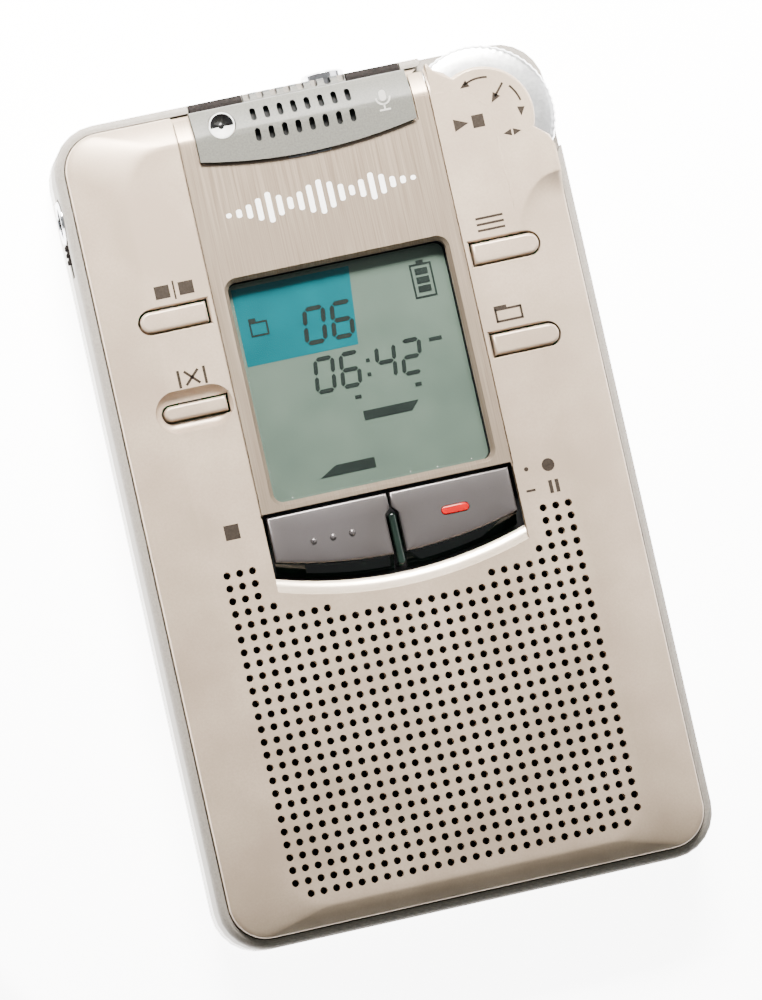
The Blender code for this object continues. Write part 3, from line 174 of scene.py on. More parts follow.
def lacquer(name, dark, light, roughness, metallic, flake=0.22 * MM):
    """Metallic lacquer on ABS: fine flakes change the tone a little, and orange peel bends the gloss."""
    material, tree, shader = start_material(name)
    coords = add_node(tree, "ShaderNodeTexCoord").outputs["Object"]
    flakes = add_node(tree, "ShaderNodeTexNoise", {"Vector": coords, "Scale": 1 / flake, "Detail": 2.0})
    cloud = add_node(tree, "ShaderNodeTexNoise", {"Vector": coords, "Scale": 1 / (9 * MM), "Detail": 2.0})
    mixed = add_node(tree, "ShaderNodeMath", {0: flakes.outputs["Fac"], 1: cloud.outputs["Fac"],
                                              2: cloud.outputs["Fac"]}, operation="MULTIPLY_ADD")
    scaled = add_node(tree, "ShaderNodeMath", {0: mixed.outputs[0], 1: 0.6}, operation="MULTIPLY")
    tone = colour_ramp(tree, scaled.outputs[0], [(0.3, dark), (0.72, light)])
    tree.links.new(tone, shader.inputs["Base Color"])
    rough = add_node(tree, "ShaderNodeMapRange", {"Value": flakes.outputs["Fac"], "To Min": roughness - 0.05,
                                                  "To Max": roughness + 0.05})
    tree.links.new(rough.outputs["Result"], shader.inputs["Roughness"])
    peel = add_node(tree, "ShaderNodeTexNoise", {"Vector": coords, "Scale": 1 / (0.7 * MM), "Detail": 1.0})
    bump = add_node(tree, "ShaderNodeBump", {"Height": peel.outputs["Fac"], "Strength": 0.04,
                                             "Distance": 0.02 * MM})
    tree.links.new(bump.outputs["Normal"], shader.inputs["Normal"])
    shader.inputs["Metallic"].default_value = metallic
    return material


def moulded(name, dark, light, roughness, grain=0.3 * MM, depth=0.02 * MM, gloss=0.5):
    """Unpainted moulded plastic: a spark-eroded grain gives a soft, slightly uneven sheen."""
    material, tree, shader = start_material(name)
    coords = add_node(tree, "ShaderNodeTexCoord").outputs["Object"]
    pits = add_node(tree, "ShaderNodeTexNoise", {"Vector": coords, "Scale": 1 / grain, "Detail": 3.0})
    tone = colour_ramp(tree, pits.outputs["Fac"], [(0.3, dark), (0.7, light)])
    tree.links.new(tone, shader.inputs["Base Color"])
    rough = add_node(tree, "ShaderNodeMapRange", {"Value": pits.outputs["Fac"], "To Min": roughness - 0.08,
                                                  "To Max": roughness + 0.08})
    tree.links.new(rough.outputs["Result"], shader.inputs["Roughness"])
    bump = add_node(tree, "ShaderNodeBump", {"Height": pits.outputs["Fac"], "Strength": 0.3,
                                             "Distance": depth})
    tree.links.new(bump.outputs["Normal"], shader.inputs["Normal"])
    shader.inputs["Specular IOR Level"].default_value = gloss
    return material


def plated(name, dark, light, roughness, grain=0.4 * MM):
    """Plated or rolled metal: faint cloudiness in tone and polish."""
    material, tree, shader = start_material(name)
    coords = add_node(tree, "ShaderNodeTexCoord").outputs["Object"]
    scaled = add_node(tree, "ShaderNodeMapping", {"Vector": coords, "Scale": (1 / grain,) * 3})
    cloud = add_node(tree, "ShaderNodeTexNoise", {"Vector": scaled.outputs["Vector"], "Scale": 1.0,
                                                  "Detail": 3.0})
    tone = colour_ramp(tree, cloud.outputs["Fac"], [(0.3, dark), (0.7, light)])
    tree.links.new(tone, shader.inputs["Base Color"])
    rough = add_node(tree, "ShaderNodeMapRange", {"Value": cloud.outputs["Fac"], "To Min": roughness - 0.04,
                                                  "To Max": roughness + 0.06})
    tree.links.new(rough.outputs["Result"], shader.inputs["Roughness"])
    shader.inputs["Metallic"].default_value = 1.0
    return material


def shade(piece, degrees=32):
    """Smooth shading with edges sharper than the angle kept crisp, weighted so that flats stay flat."""
    piece.data.shade_smooth()
    piece.data.set_sharp_from_angle(angle=math.radians(degrees))
    weigh = piece.modifiers.new("weighted_normals", "WEIGHTED_NORMAL")
    weigh.keep_sharp = True


def soften(piece, width, degrees):
    """Eases the edges that are sharper than the angle with a small bevel."""
    bevel = piece.modifiers.new("eased_edges", "BEVEL")
    bevel.width = width
    bevel.segments = 2
    bevel.limit_method = "ANGLE"
    bevel.angle_limit = math.radians(degrees)


def settle(piece, body, slot, material, *replaced):
    """Gives a finished piece its material and body, and hides the CAD nodes that it stands for; slot is not
    used.
    """
    piece.data.materials.clear()
    piece.data.materials.append(material)
    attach(piece, body)
    if replaced:
        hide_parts(*replaced)
    return piece


def refine(node, name, edge, degrees=32):
    """Copy of a CAD node with its corners merged, its edges eased and its round faces smooth."""
    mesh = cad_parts[node].data.copy()
    work = bmesh.new()
    work.from_mesh(mesh)
    bmesh.ops.remove_doubles(work, verts=work.verts, dist=0.002 * MM)
    bmesh.ops.dissolve_limit(work, angle_limit=math.radians(0.5), verts=work.verts, edges=work.edges)
    work.to_mesh(mesh)
    work.free()
    mesh.name = name
    piece = bpy.data.objects.new(name, mesh)
    bpy.context.scene.collection.objects.link(piece)
    if edge:
        soften(piece, edge, degrees)
    shade(piece, degrees)
    return piece


# Champagne and silver metallic lacquers, zinc-plated screws, and satin moulded ABS for the rim.
champagne = lacquer("champagne_metallic_lacquer", "#a3907d", "#bca893", 0.40, 0.30)
body_silver = lacquer("satin_silver_lacquer", "#8f8982", "#a39d95", 0.34, 0.40)
rolled_steel = plated("zinc_plated_steel", "#9a9c9e", "#c9cacc", 0.30)
rim_grey = moulded("satin_grey_rim_abs", "#7e7871", "#8c867e", 0.5, 0.25 * MM, 0.01 * MM, 0.05)
settle(refine("rear_case", "rear_shell", 0.10 * MM), "case", "silver_paint", body_silver, "rear_case")
settle(refine("middle_frame", "rim_band", 0.06 * MM), "case", "silver_paint", rim_grey, "middle_frame")
door = refine("battery_door", "sliding_door", 0.12 * MM)
settle(door, "battery_door", "silver_paint", body_silver, "battery_door")
for number in range(1, 5):
    screw = refine(f"case_screw_{number}", f"cross_head_screw_{number}", 0.05 * MM)
    settle(screw, "case", "steel", rolled_steel, f"case_screw_{number}")


# Battery, its bay and contacts
# A slim lithium-ion pack in a printed sleeve lies in a black ABS bay against three gold-plated spring blades.

black_abs_and_painted_shade = moulded("black_abs_and_painted_shade", "#121313", "#1d1e1e", 0.55)
sleeve = moulded("printed_battery_sleeve", "#23262c", "#2c3038", 0.4, 0.5 * MM)
gold = plated("gold_plated_bronze", "#b98d3a", "#dcb463", 0.25)


def dress(material, *nodes):
    """Gives CAD nodes that keep their own shape a material."""
    for node in nodes:
        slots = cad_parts[node].data.materials
        slots.clear()
        slots.append(material)


dress(black_abs_and_painted_shade, "battery_bay")
dress(sleeve, "battery_pack")
dress(gold, "battery_contact_plus", "battery_contact_minus", "battery_contact_sense")


# Main board and what is soldered to it
# Green fibreglass board with chips, metal dome contacts, jack blocks, hold switch and the dial's encoder.

board_mask, tree, shader = start_material("green_solder_mask")
coords = add_node(tree, "ShaderNodeTexCoord").outputs["Object"]
tracks = add_node(tree, "ShaderNodeTexBrick", {
    "Vector": coords, "Scale": 1 / (2.5 * MM), "Color1": linear("#0f4a2a"), "Color2": linear("#0d4226"),
    "Mortar": linear("#2b7a4a"), "Mortar Size": 0.03})
tree.links.new(tracks.outputs["Color"], shader.inputs["Base Color"])
shader.inputs["Roughness"].default_value = 0.35
chip_resin = moulded("chip_epoxy", "#0d0e0f", "#17181a", 0.6, 0.15 * MM)
dress(board_mask, "main_board")
dress(chip_resin, "memory_chip", "processor_chip", "audio_chip", "display_connector", "dial_encoder")
dress(rolled_steel, "stop_dome", "rec_dome", "divide_dome", "mode_dome", "folder_dome", "erase_dome")
dress(black_abs_and_painted_shade, "earphone_jack", "microphone_jack", "dial_carrier")
dress(rolled_steel, "hold_switch", "dial_axle")


# Loudspeaker, its cloth and the microphone
# A 28 mm speaker with a pressed steel basket and paper cone; black woven cloth keeps dust out.

cloth, tree, shader = start_material("black_woven_cloth")
coords = add_node(tree, "ShaderNodeTexCoord").outputs["Object"]
weave = add_node(tree, "ShaderNodeTexChecker", {
    "Vector": coords, "Scale": 1 / (0.3 * MM), "Color1": linear("#0a0a0a"), "Color2": linear("#141414")})
tree.links.new(weave.outputs["Color"], shader.inputs["Base Color"])
shader.inputs["Roughness"].default_value = 0.9
paper = moulded("pressed_paper", "#151515", "#242322", 0.85, 0.4 * MM)
ferrite = moulded("ferrite", "#3a3a3c", "#4a4a4c", 0.5)
dress(cloth, "grille_cloth")
dress(paper, "speaker_cone")
dress(rolled_steel, "speaker_frame", "microphone_capsule")
dress(ferrite, "speaker_magnet")


# Jacks and hold switch
# Two 3.5 mm jacks end in turned, chrome-plated collars; a ribbed charcoal knob slides in the left side.

chrome = plated("chrome_plate", "#c9c9cb", "#e6e6e8", 0.10)
charcoal = moulded("charcoal_abs", "#1a1817", "#262322", 0.60, 0.25 * MM, gloss=0.0)
settle(refine("earphone_collar", "earphone_ring", 0.05 * MM), "case", "chrome", chrome, "earphone_collar")
top_ring = refine("microphone_collar", "microphone_ring", 0.05 * MM)
settle(top_ring, "case", "chrome", chrome, "microphone_collar")
settle(refine("hold_slider", "hold_knob", 0.08 * MM), "hold_slider", "charcoal", charcoal, "hold_slider")


# Display
# A twisted-nematic glass with its printed frame sits in a black holder over a milky light guide.
# Dark segments stand on the grey-green field, and a blue gel tints the corner that shows the file number.

def clouded(name, dark, light, patch, roughness, gloss=0.5):
    """Smooth glass, film or gloss plastic, whose colour drifts a little over patches of this size."""
    material, tree, shader = start_material(name)
    coords = add_node(tree, "ShaderNodeTexCoord").outputs["Object"]
    patches = add_node(tree, "ShaderNodeTexNoise", {"Vector": coords, "Scale": 1 / patch, "Detail": 2.0})
    tone = colour_ramp(tree, patches.outputs["Fac"], [(0.3, dark), (0.7, light)])
    tree.links.new(tone, shader.inputs["Base Color"])
    shader.inputs["Roughness"].default_value = roughness
    shader.inputs["Specular IOR Level"].default_value = gloss
    return material


display_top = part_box("display_glass")[1].z
lcd = clouded("liquid_crystal_glass", "#4c5a51", "#556359", 6 * MM, 0.35, 0.1)
milky = moulded("milky_acrylic", "#d9dcd6", "#e6e9e3", 0.4)
dress(lcd, "display_glass")
dress(milky, "light_guide")
dress(black_abs_and_painted_shade, "display_holder")


def flat_piece(name, polygons, base, thick):
    """Closed thin solid for each polygon [(x, y), ...], standing from base up by thick."""
    points, faces = [], []
    for polygon in polygons:
        polygon = np.array(polygon, float)
        area = np.sum(polygon[:, 0] * np.roll(polygon[:, 1], -1) - polygon[:, 1] * np.roll(polygon[:, 0], -1))
        if area < 0:
            polygon = polygon[::-1]
        count, start = len(polygon), len(points)
        points += [(x, y, base) for x, y in polygon] + [(x, y, base + thick) for x, y in polygon]
        faces.append([start + i for i in reversed(range(count))])
        faces.append([start + count + i for i in range(count)])
        faces += [[start + i, start + (i + 1) % count, start + count + (i + 1) % count, start + count + i]
                  for i in range(count)]
    return mesh_piece(name, points, faces)


SEGMENTS = {"0": "abcdef", "2": "abged", "4": "fgbc", "6": "afgedc"}
SEGMENT_ENDS = {"a": ((0, 1), (1, 1)), "b": ((1, 1), (1, 0.5)), "c": ((1, 0.5), (1, 0)),
                "d": ((0, 0), (1, 0)), "e": ((0, 0.5), (0, 0)), "f": ((0, 1), (0, 0.5)),
                "g": ((0, 0.5), (1, 0.5))}


def digit(character, x, y, width, height, stroke=0.5, slant=0.12):
    """Seven-segment digit as slanted hexagon bars, in millimetres from its lower left corner."""
    bars = []
    for label in SEGMENTS[character]:
        ends = np.array(SEGMENT_ENDS[label], float) * (width - stroke, height - stroke) + stroke / 2
        along = (ends[1] - ends[0]) / np.linalg.norm(ends[1] - ends[0])
        across = np.array((-along[1], along[0])) * stroke / 2
        start, stop = ends[0] + along * 0.08, ends[1] - along * 0.08
        tip = along * stroke / 2
        hexagon = np.array([start, start + tip + across, stop - tip + across, stop, stop - tip - across,
                            start + tip - across])
        hexagon[:, 0] += hexagon[:, 1] * slant
        bars.append((hexagon + (x, y)) * MM)
    return bars


def bar(x_low, y_low, x_high, y_high, tip=0.0):
    """Rectangle in millimetres; tip slants its right end (positive) or its left end (negative)."""
    right, left = max(tip, 0), max(-tip, 0)
    outline = [(x_low + left, y_low), (x_high - right, y_low), (x_high, y_high), (x_low, y_high)]
    if left:
        outline = [(x_low, y_low), (x_high, y_low), (x_high, y_high), (x_low + left, y_high)]
    return np.array(outline) * MM


# Two digits for the file number, four for the time with its colon, two pointers and three short bars.
segments = digit("0", -4.9, 16.8, 2.5, 4.1) + digit("6", -1.9, 16.8, 2.5, 4.1)
for character, x in (("0", -4.9), ("6", -2.1), ("4", 1.8), ("2", 4.6)):
    segments += digit(character, x, 11.5, 2.3, 3.9, 0.45)
segments += [bar(0.95, 12.3, 1.35, 12.7), bar(1.1, 13.8, 1.5, 14.2)]
segments += [bar(-0.4, 7.8, 5.7, 8.8, 0.9), bar(-6.4, 2.7, -0.3, 3.8, -1.9)]
segments += [bar(-0.9, 10.2, -0.2, 10.6), bar(5.7, 10.2, 6.4, 10.6), bar(8.2, 14.6, 9.6, 15.0)]
# Battery outline with three levels, and folder outline.
segments += [bar(7.8, 19.3, 10.2, 19.5), bar(7.8, 22.8, 10.2, 23.0), bar(7.8, 19.5, 8.0, 22.8),
             bar(10.0, 19.5, 10.2, 22.8), bar(8.6, 23.0, 9.4, 23.35)]
segments += [bar(8.3, 19.9 + level, 9.7, 20.6 + level) for level in (0.0, 0.95, 1.9)]
segments += [bar(-10.3, 18.9, -8.3, 19.1), bar(-10.3, 20.3, -8.3, 20.5), bar(-10.3, 19.1, -10.1, 20.3),
             bar(-8.5, 19.1, -8.3, 20.3), bar(-10.3, 20.5, -9.5, 20.9)]
segment_ink = clouded("liquid_crystal_segments", "#141a18", "#1b2320", 2 * MM, 0.4, 0.1)
digits = flat_piece("display_segments", segments, display_top + 0.03 * MM, 0.02 * MM)
settle(digits, "case", "display", segment_ink)

gel = clouded("blue_polyester_gel", "#004a52", "#00575f", 8 * MM, 0.3, 0.1)
gel_outline = np.array([(-11.4, 15.9), (0.7, 15.9), (1.5, 24.3), (-11.4, 24.3)]) * MM
gel_piece = flat_piece("display_tint", [gel_outline], display_top + 0.005 * MM, 0.01 * MM)
settle(gel_piece, "case", "display", gel)

pane = clouded("clear_acrylic", "#1d2321", "#242b28", 5 * MM, 0.06)
pane.node_tree.nodes["Principled BSDF"].inputs["Alpha"].default_value = 0.08
pane.surface_render_method = "BLENDED"
settle(refine("display_window", "window_pane", 0.12 * MM), "case", "window", pane, "display_window")


# Front case
# One ABS moulding with a flat field and sloping sides, sprayed champagne, drilled over the speaker.
# A stepped scoop under the dial guides the thumb, and the recess for the keys ends in a hollow lip.

def rounded(x_low, x_high, y_low, y_high, radius, steps=14):
    """Outline of a rectangle whose corners are quarter circles, anticlockwise, as an array of (x, y)."""
    turns = np.linspace(0, math.pi / 2, steps + 1)
    corners = [(x_high - radius, y_high - radius), (x_low + radius, y_high - radius),
               (x_low + radius, y_low + radius), (x_high - radius, y_low + radius)]
    arcs = [np.stack([cx + radius * np.cos(turns + quarter * math.pi / 2),
                      cy + radius * np.sin(turns + quarter * math.pi / 2)], 1)
            for quarter, (cx, cy) in enumerate(corners)]
    return np.concatenate(arcs)


def grid_mesh(name, grid):
    """Closed solid over rows of points: each row is a ring joined to the next, and a face closes each end."""
    rows, columns = grid.shape[:2]
    row, column = np.meshgrid(np.arange(rows - 1), np.arange(columns), indexing="ij")
    here, beside = row * columns + column, row * columns + (column + 1) % columns
    quads = np.stack([here, beside, beside + columns, here + columns], -1).reshape(-1, 4)
    faces = quads.tolist() + [list(range(columns))[::-1], list(range((rows - 1) * columns, rows * columns))]
    return mesh_piece(name, grid.reshape(-1, 3), faces)


def lift(outline, height):
    """The outline as a ring of points at one height."""
    return np.column_stack([outline, np.full(len(outline), height)])


def loft(name, levels):
    """Closed solid through (outline, height) levels from the bottom up, in millimetres."""
    return grid_mesh(name, np.array([lift(outline, height) for outline, height in levels]) * MM)


def round_outline(x, y, radius, steps):
    """Circle's outline round (x, y), anticlockwise from its rightmost point."""
    turn = np.linspace(0, 2 * math.pi, steps, endpoint=False)
    return np.stack([x + radius * np.cos(turn), y + radius * np.sin(turn)], 1)


def cut(piece, cutter, operation="DIFFERENCE"):
    """Carves cutter out of piece, or joins or keeps what they share, and removes the cutter."""
    modifier = piece.modifiers.new("carve", "BOOLEAN")
    modifier.solver = "MANIFOLD"
    modifier.operation = operation
    modifier.object = cutter
    carved = bpy.data.meshes.new_from_object(piece.evaluated_get(bpy.context.evaluated_depsgraph_get()))
    piece.modifiers.remove(modifier)
    carved.name = piece.name
    piece.data = carved
    bpy.data.objects.remove(cutter)
    return piece


# Sizes from here on are in millimetres.
face_low, face_high = (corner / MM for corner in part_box("front_case"))
panel_low, panel_high = (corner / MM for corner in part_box("centre_panel"))
FACE_X, FACE_Y, FACE_Z = face_high.x, face_high.y, panel_high.z
KEY_Y = panel_low.y
LOW, HIGH = FACE_Z - 9, FACE_Z + 9
CORNER, PLATEAU_CORNER = 4.0, 5.0
PLATEAU_X, PLATEAU_TOP, PLATEAU_LOW = FACE_X - 5.6, FACE_Y - 3.0, -FACE_Y + 2.1
FALL = 1.45
EDGE, FOOT_TILT = 0.45, 0.6


def face_outline(inset, steps=14):
    """Outer outline of the face, drawn in by inset."""
    return rounded(-FACE_X + inset, FACE_X - inset, -FACE_Y + inset, FACE_Y - inset, CORNER - inset, steps)


def plateau_outline(inset, steps=14):
    """Outline of the flat on top of the face, drawn in by inset."""
    return rounded(-PLATEAU_X + inset, PLATEAU_X - inset, PLATEAU_LOW + inset, PLATEAU_TOP - inset,
                   PLATEAU_CORNER - inset, steps)


def risen(share):
    """How far the slope has risen, 0 to 1, after this share of its width: a parabola, steeper at its foot."""
    return share * (1.33 - 0.34 * share)


def face_levels(lift_by, foot):
    """Levels of the face's outer form: straight skirt, round edge, slope, soft turn on to the flat."""
    slope_foot = FACE_Z - FALL + lift_by
    levels = [(face_outline(0), foot)]
    for angle in np.linspace(0, math.pi / 2 - FOOT_TILT, 6):
        below = EDGE * (math.cos(FOOT_TILT) - math.sin(angle))
        levels.append((face_outline(EDGE * (1 - math.cos(angle))), slope_foot - below))
    outer, inner = face_outline(EDGE * (1 - math.sin(FOOT_TILT))), plateau_outline(0)
    for share in np.linspace(0.08, 0.96, 10):
        levels.append((outer + (inner - outer) * share, slope_foot + FALL * risen(share)))
    levels.append((plateau_outline(0.1), FACE_Z + lift_by - 0.03))
    levels.append((plateau_outline(0.5), FACE_Z + lift_by))
    return levels


def bowed(x_low, x_high, y_high, side, bow, half_span, steps=48):
    """Outline with a straight upper edge and a parabola below, bow deeper in the middle than at half_span."""
    x = np.linspace(x_low, x_high, steps)
    lower = np.stack([x, y_high - side - bow * (1 - (x / half_span) ** 2)], 1)
    return np.concatenate([[(x_high, y_high), (x_low, y_high)], lower])


def d_outline(side, y, inner, length, width, grow=0.0, steps=20):
    """D-shaped outline: square end at inner, round end length further out; side is -1 or 1."""
    radius = width / 2 + grow
    angles = np.linspace(-math.pi / 2, math.pi / 2, steps)
    x_high = inner + length + grow - radius
    arc = np.stack([x_high + radius * np.cos(angles), y + radius * np.sin(angles)], 1)
    points = np.concatenate([[(inner - grow, y - radius)], arc, [(inner - grow, y + radius)]])
    return points if side > 0 else (points * (-1, 1))[::-1]


def column(outline, low, high):
    """Upright prism over the outline."""
    return loft("cutter", [(outline, low), (outline, high)])


SKIRT = 3.3
shell = loft("face_moulding", face_levels(0.0, face_low.z + SKIRT))

# The shoulder round the dial stays at the height of the flat; under it a scoop falls to the side's slope.
x, y = np.meshgrid(np.linspace(14.0, FACE_X - 0.02, 70), np.linspace(20.0, FACE_Y - 0.05, 180),
                   indexing="ij")
slope = FACE_Z - FALL * (1 - risen(np.clip((FACE_X - 0.2 - x) / 5.4, 0, 1)))
brink = 29.4 - 3.4 * np.clip((25.4 - x) / 4.6, 0, 1.2) ** 2.2
below = np.clip((brink - y) / 5.0, 0, 1)
past_edge = np.clip(np.maximum(x - FACE_X + EDGE, y - FACE_Y + 0.5) / 0.5, 0, 1)
edge_fall = EDGE * (1 - np.sqrt(1 - past_edge ** 2 * 0.98))
height = slope + (FACE_Z - slope) * (1 - below) ** 4.5 - 0.01 - edge_fall
height = np.where(below > 0.99, slope - 0.3, height)
top = np.stack([x, y, height], -1)
base = np.stack([x, y, np.full_like(x, FACE_Z - 2.6)], -1)


def slab_mesh(name, top, base):
    """Closed solid between two grids of points with the same layout, with walls along their four sides."""
    rows, columns = top.shape[:2]
    row, column_index = np.meshgrid(np.arange(rows - 1), np.arange(columns - 1), indexing="ij")
    here = row * columns + column_index
    upper = np.stack([here, here + columns, here + columns + 1, here + 1], -1).reshape(-1, 4)
    lower = upper[:, ::-1] + rows * columns
    rim = np.concatenate([np.arange(rows - 1) * columns, (rows - 1) * columns + np.arange(columns - 1),
                          np.arange(rows - 1, 0, -1) * columns + columns - 1, np.arange(columns - 1, 0, -1)])
    following = np.roll(rim, -1)
    walls = np.stack([rim, rim + rows * columns, following + rows * columns, following], -1)
    points = np.concatenate([top.reshape(-1, 3), base.reshape(-1, 3)]) * MM
    return mesh_piece(name, points, np.concatenate([upper, lower, walls]).tolist())


cut(shell, slab_mesh("shoulder", top, base), "UNION")
inner_wall = face_outline(1.4, 6)
cut(shell, loft("cutter", [(inner_wall, LOW), (inner_wall, FACE_Z - FALL - 1.3),
                           (plateau_outline(0.7, 6), FACE_Z - 1.2)]))


def window_outline(grow):
    """Outline of the display's opening, grown all round."""
    return rounded(-11.9 - grow, 11.9 + grow, KEY_Y + 0.9 - grow, KEY_Y + 24.8 + grow, 1.0 + grow)


def key_recess(reach):
    """Outline of the recess for the keys, with its bowed edge moved out by reach."""
    return bowed(-13.7, 13.7, KEY_Y, 6.6 + reach, 2.1, 13.7)


PANEL_HALF = 13.6
pocket_outline = rounded(-PANEL_HALF - 0.2, PANEL_HALF + 0.2, KEY_Y - 0.4, FACE_Y + 9, 0.02, 1)
pocket = column(pocket_outline, FACE_Z - 3, HIGH)
cut(pocket, loft("cutter", face_levels(-0.9, LOW)))
cut(shell, pocket)
cut(shell, column(window_outline(0.0), LOW, HIGH))
LIP, LIP_DEPTH = 1.75, 1.2
lip_levels = [(key_recess(0.0), LOW), (key_recess(0.0), FACE_Z - LIP_DEPTH - 0.05)]
for angle in np.linspace(0.15, 1.0, 6) * math.pi / 2:
    lip_levels.append((key_recess(LIP * math.sin(angle)), FACE_Z - LIP_DEPTH * math.cos(angle) ** 1.3))
lip_levels.append((key_recess(LIP + 0.1), FACE_Z + 1.0))
cut(shell, loft("cutter", lip_levels))

# Each button: its side, its height above the key line, its length and its width.
BUTTONS = {"divide": (-1, 22.4, 7.7, 2.7), "mode": (1, 22.4, 7.7, 2.7), "folder": (1, 12.5, 7.7, 2.7),
           "erase": (-1, 12.5, 7.3, 2.1)}
BUTTON_INNER = 14.3


def button_outline(label, grow):
    """Outline of a button's hole, grown all round."""
    side, above, length, width = BUTTONS[label]
    return d_outline(side, KEY_Y + above, BUTTON_INNER, length, width, grow)


for label in BUTTONS:
    hole, wide_hole = button_outline(label, 0.0), button_outline(label, 0.18)
    cut(shell, loft("cutter", [(hole, LOW), (hole, FACE_Z - 0.18), (wide_hole, FACE_Z + 0.02),
                               (wide_hole, HIGH)]))

# The erase button lies in a dish, given by its depths and how far it has grown at each.
dish = []
for depth, grow in ((0.95, 0.05), (0.92, 0.3), (0.78, 0.62), (0.50, 0.9), (0.16, 1.08), (0.0, 1.22),
                    (-0.4, 1.5)):
    ring = rounded(-21.3 - grow, -15.15 + grow, KEY_Y + 11.45 - grow, KEY_Y + 13.55 + grow, 1.04 + grow)
    dish.append((ring, FACE_Z - depth))
cut(shell, loft("cutter", dish))

# The dial's well and the face's lobe over it.
DIAL_X, DIAL_Y = 19.0, FACE_Y - 6.9
cut(shell, column(round_outline(DIAL_X - 0.3, DIAL_Y - 0.3, 9.0, 64), LOW, FACE_Z - 1.35))
sweep = np.radians(np.linspace(118, -22, 40))
corner_levels = [(0.0, LOW)]
for angle in np.linspace(0, math.pi / 2, 6):
    corner_levels.append((EDGE * (1 - math.cos(angle)), FACE_Z - EDGE + (EDGE + 0.01) * math.sin(angle)))
corner_levels.append((0.5, HIGH))
corner = []
for ease, level in corner_levels:
    reach = 5.5 - ease
    lobe = np.stack([DIAL_X + reach * np.cos(sweep), DIAL_Y + reach * np.sin(sweep)], 1)
    before = [(DIAL_X - 5.2 - ease, 60), (DIAL_X - 4.9 - ease, FACE_Y + 0.15),
              (DIAL_X - 4.2 - ease, FACE_Y - 0.9), (DIAL_X - 3.2 - ease, DIAL_Y + reach)]
    after = [(FACE_X - 0.4 - ease, DIAL_Y - 3.2), (FACE_X - 0.05, DIAL_Y - 4.3 - ease),
             (60, DIAL_Y - 4.3 - ease), (60, 60)]
    corner.append((np.concatenate([before, lobe, after]), level))
cut(shell, loft("cutter", corner))


def round_tool(place, direction, radius, length, steps=32):
    """Cylinder of the radius from place along direction, in millimetres."""
    tool = column(round_outline(0, 0, radius, steps), 0, length)
    axis = Matrix.Translation([value * MM for value in place])
    if direction == "left":
        axis = axis @ Matrix.Rotation(-math.pi / 2, 4, "Y")
    tool.data.transform(axis)
    return tool


jack_low, jack_high = (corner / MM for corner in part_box("earphone_collar"))
jack_place = (-23, (jack_low.y + jack_high.y) / 2, (jack_low.z + jack_high.z) / 2)
cut(shell, round_tool(jack_place, "left", 2.65, 9))

# The drilled field: a square pitch, with shoulders of a few holes a row beside the key recess.
HOLE_PITCH, HOLE_RADIUS, HOLE_ROWS, HOLE_COLUMNS = 1.38, 0.40, 26, 28
FIELD_TOP = -5.42
column_x = (np.arange(HOLE_COLUMNS) - (HOLE_COLUMNS - 1) / 2) * HOLE_PITCH
row_y = FIELD_TOP - np.arange(HOLE_ROWS) * HOLE_PITCH
from_side = np.minimum(np.arange(HOLE_COLUMNS), np.arange(HOLE_COLUMNS)[::-1])
drilled = np.ones((HOLE_ROWS, HOLE_COLUMNS), bool)
for row, holes in enumerate((3, 3, 3, 4, 8)):
    drilled[row] = from_side < holes
drilled[-1] = from_side > 0
centres = np.stack(np.meshgrid(column_x, row_y), -1)[drilled]
drills = flat_piece("drills", (centres[:, None, :] + round_outline(0, 0, HOLE_RADIUS, 14)) * MM,
                    (FACE_Z - 2) * MM, 3 * MM)
cut(shell, drills)
shade(shell, 30)
settle(shell, "case", "silver_paint", champagne, "front_case")

# The hollow lip below the keys has a glossier lacquer, and its lighter colour is a painted highlight.
shell.data.materials.append(lacquer("painted_highlight_champagne_lacquer", "#cdbca8", "#dccdba", 0.22, 0.30))
for face in shell.data.polygons:
    x, y, z = face.center / MM
    if abs(x) < 13.9 and -11.5 < y < KEY_Y and FACE_Z - 1.22 < z < FACE_Z - 0.02 and face.normal.y > 0.1:
        face.material_index = 1


# Centre panel
# Thin aluminium plate, brushed along its length and lacquered clear, glued into a pocket of the face.

brushed, tree, shader = start_material("brushed_aluminium")
coords = add_node(tree, "ShaderNodeTexCoord").outputs["Object"]
stroke = (1 / (0.16 * MM), 1 / (14 * MM), 1.0)
stretch = add_node(tree, "ShaderNodeMapping", {"Vector": coords, "Scale": stroke}).outputs["Vector"]
lines = add_node(tree, "ShaderNodeTexNoise", {"Vector": stretch, "Scale": 1.0, "Detail": 4.0,
                                              "Roughness": 0.65})
tree.links.new(colour_ramp(tree, lines.outputs["Fac"], [(0.25, "#837261"), (0.75, "#a39381")]),
               shader.inputs["Base Color"])
rough = add_node(tree, "ShaderNodeMapRange", {"Value": lines.outputs["Fac"], "To Min": 0.30, "To Max": 0.48})
tree.links.new(rough.outputs["Result"], shader.inputs["Roughness"])
bump = add_node(tree, "ShaderNodeBump", {"Height": lines.outputs["Fac"], "Strength": 0.25,
                                         "Distance": 0.01 * MM})
tree.links.new(bump.outputs["Normal"], shader.inputs["Normal"])
shader.inputs["Metallic"].default_value = 0.75
PANEL_THICK, CHAMFER = 0.6, 0.42
COVER_HALF, COVER_DEPTH, COVER_BOW, COVER_GAP = 11.8, 6.7, 1.2, 0.25


def cover_outline(grow, top, depth=COVER_DEPTH):
    """Outline of the microphone cover up to top, with its sides and its bowed edge grown."""
    return bowed(-COVER_HALF - grow, COVER_HALF + grow, top, depth + grow, COVER_BOW, COVER_HALF)


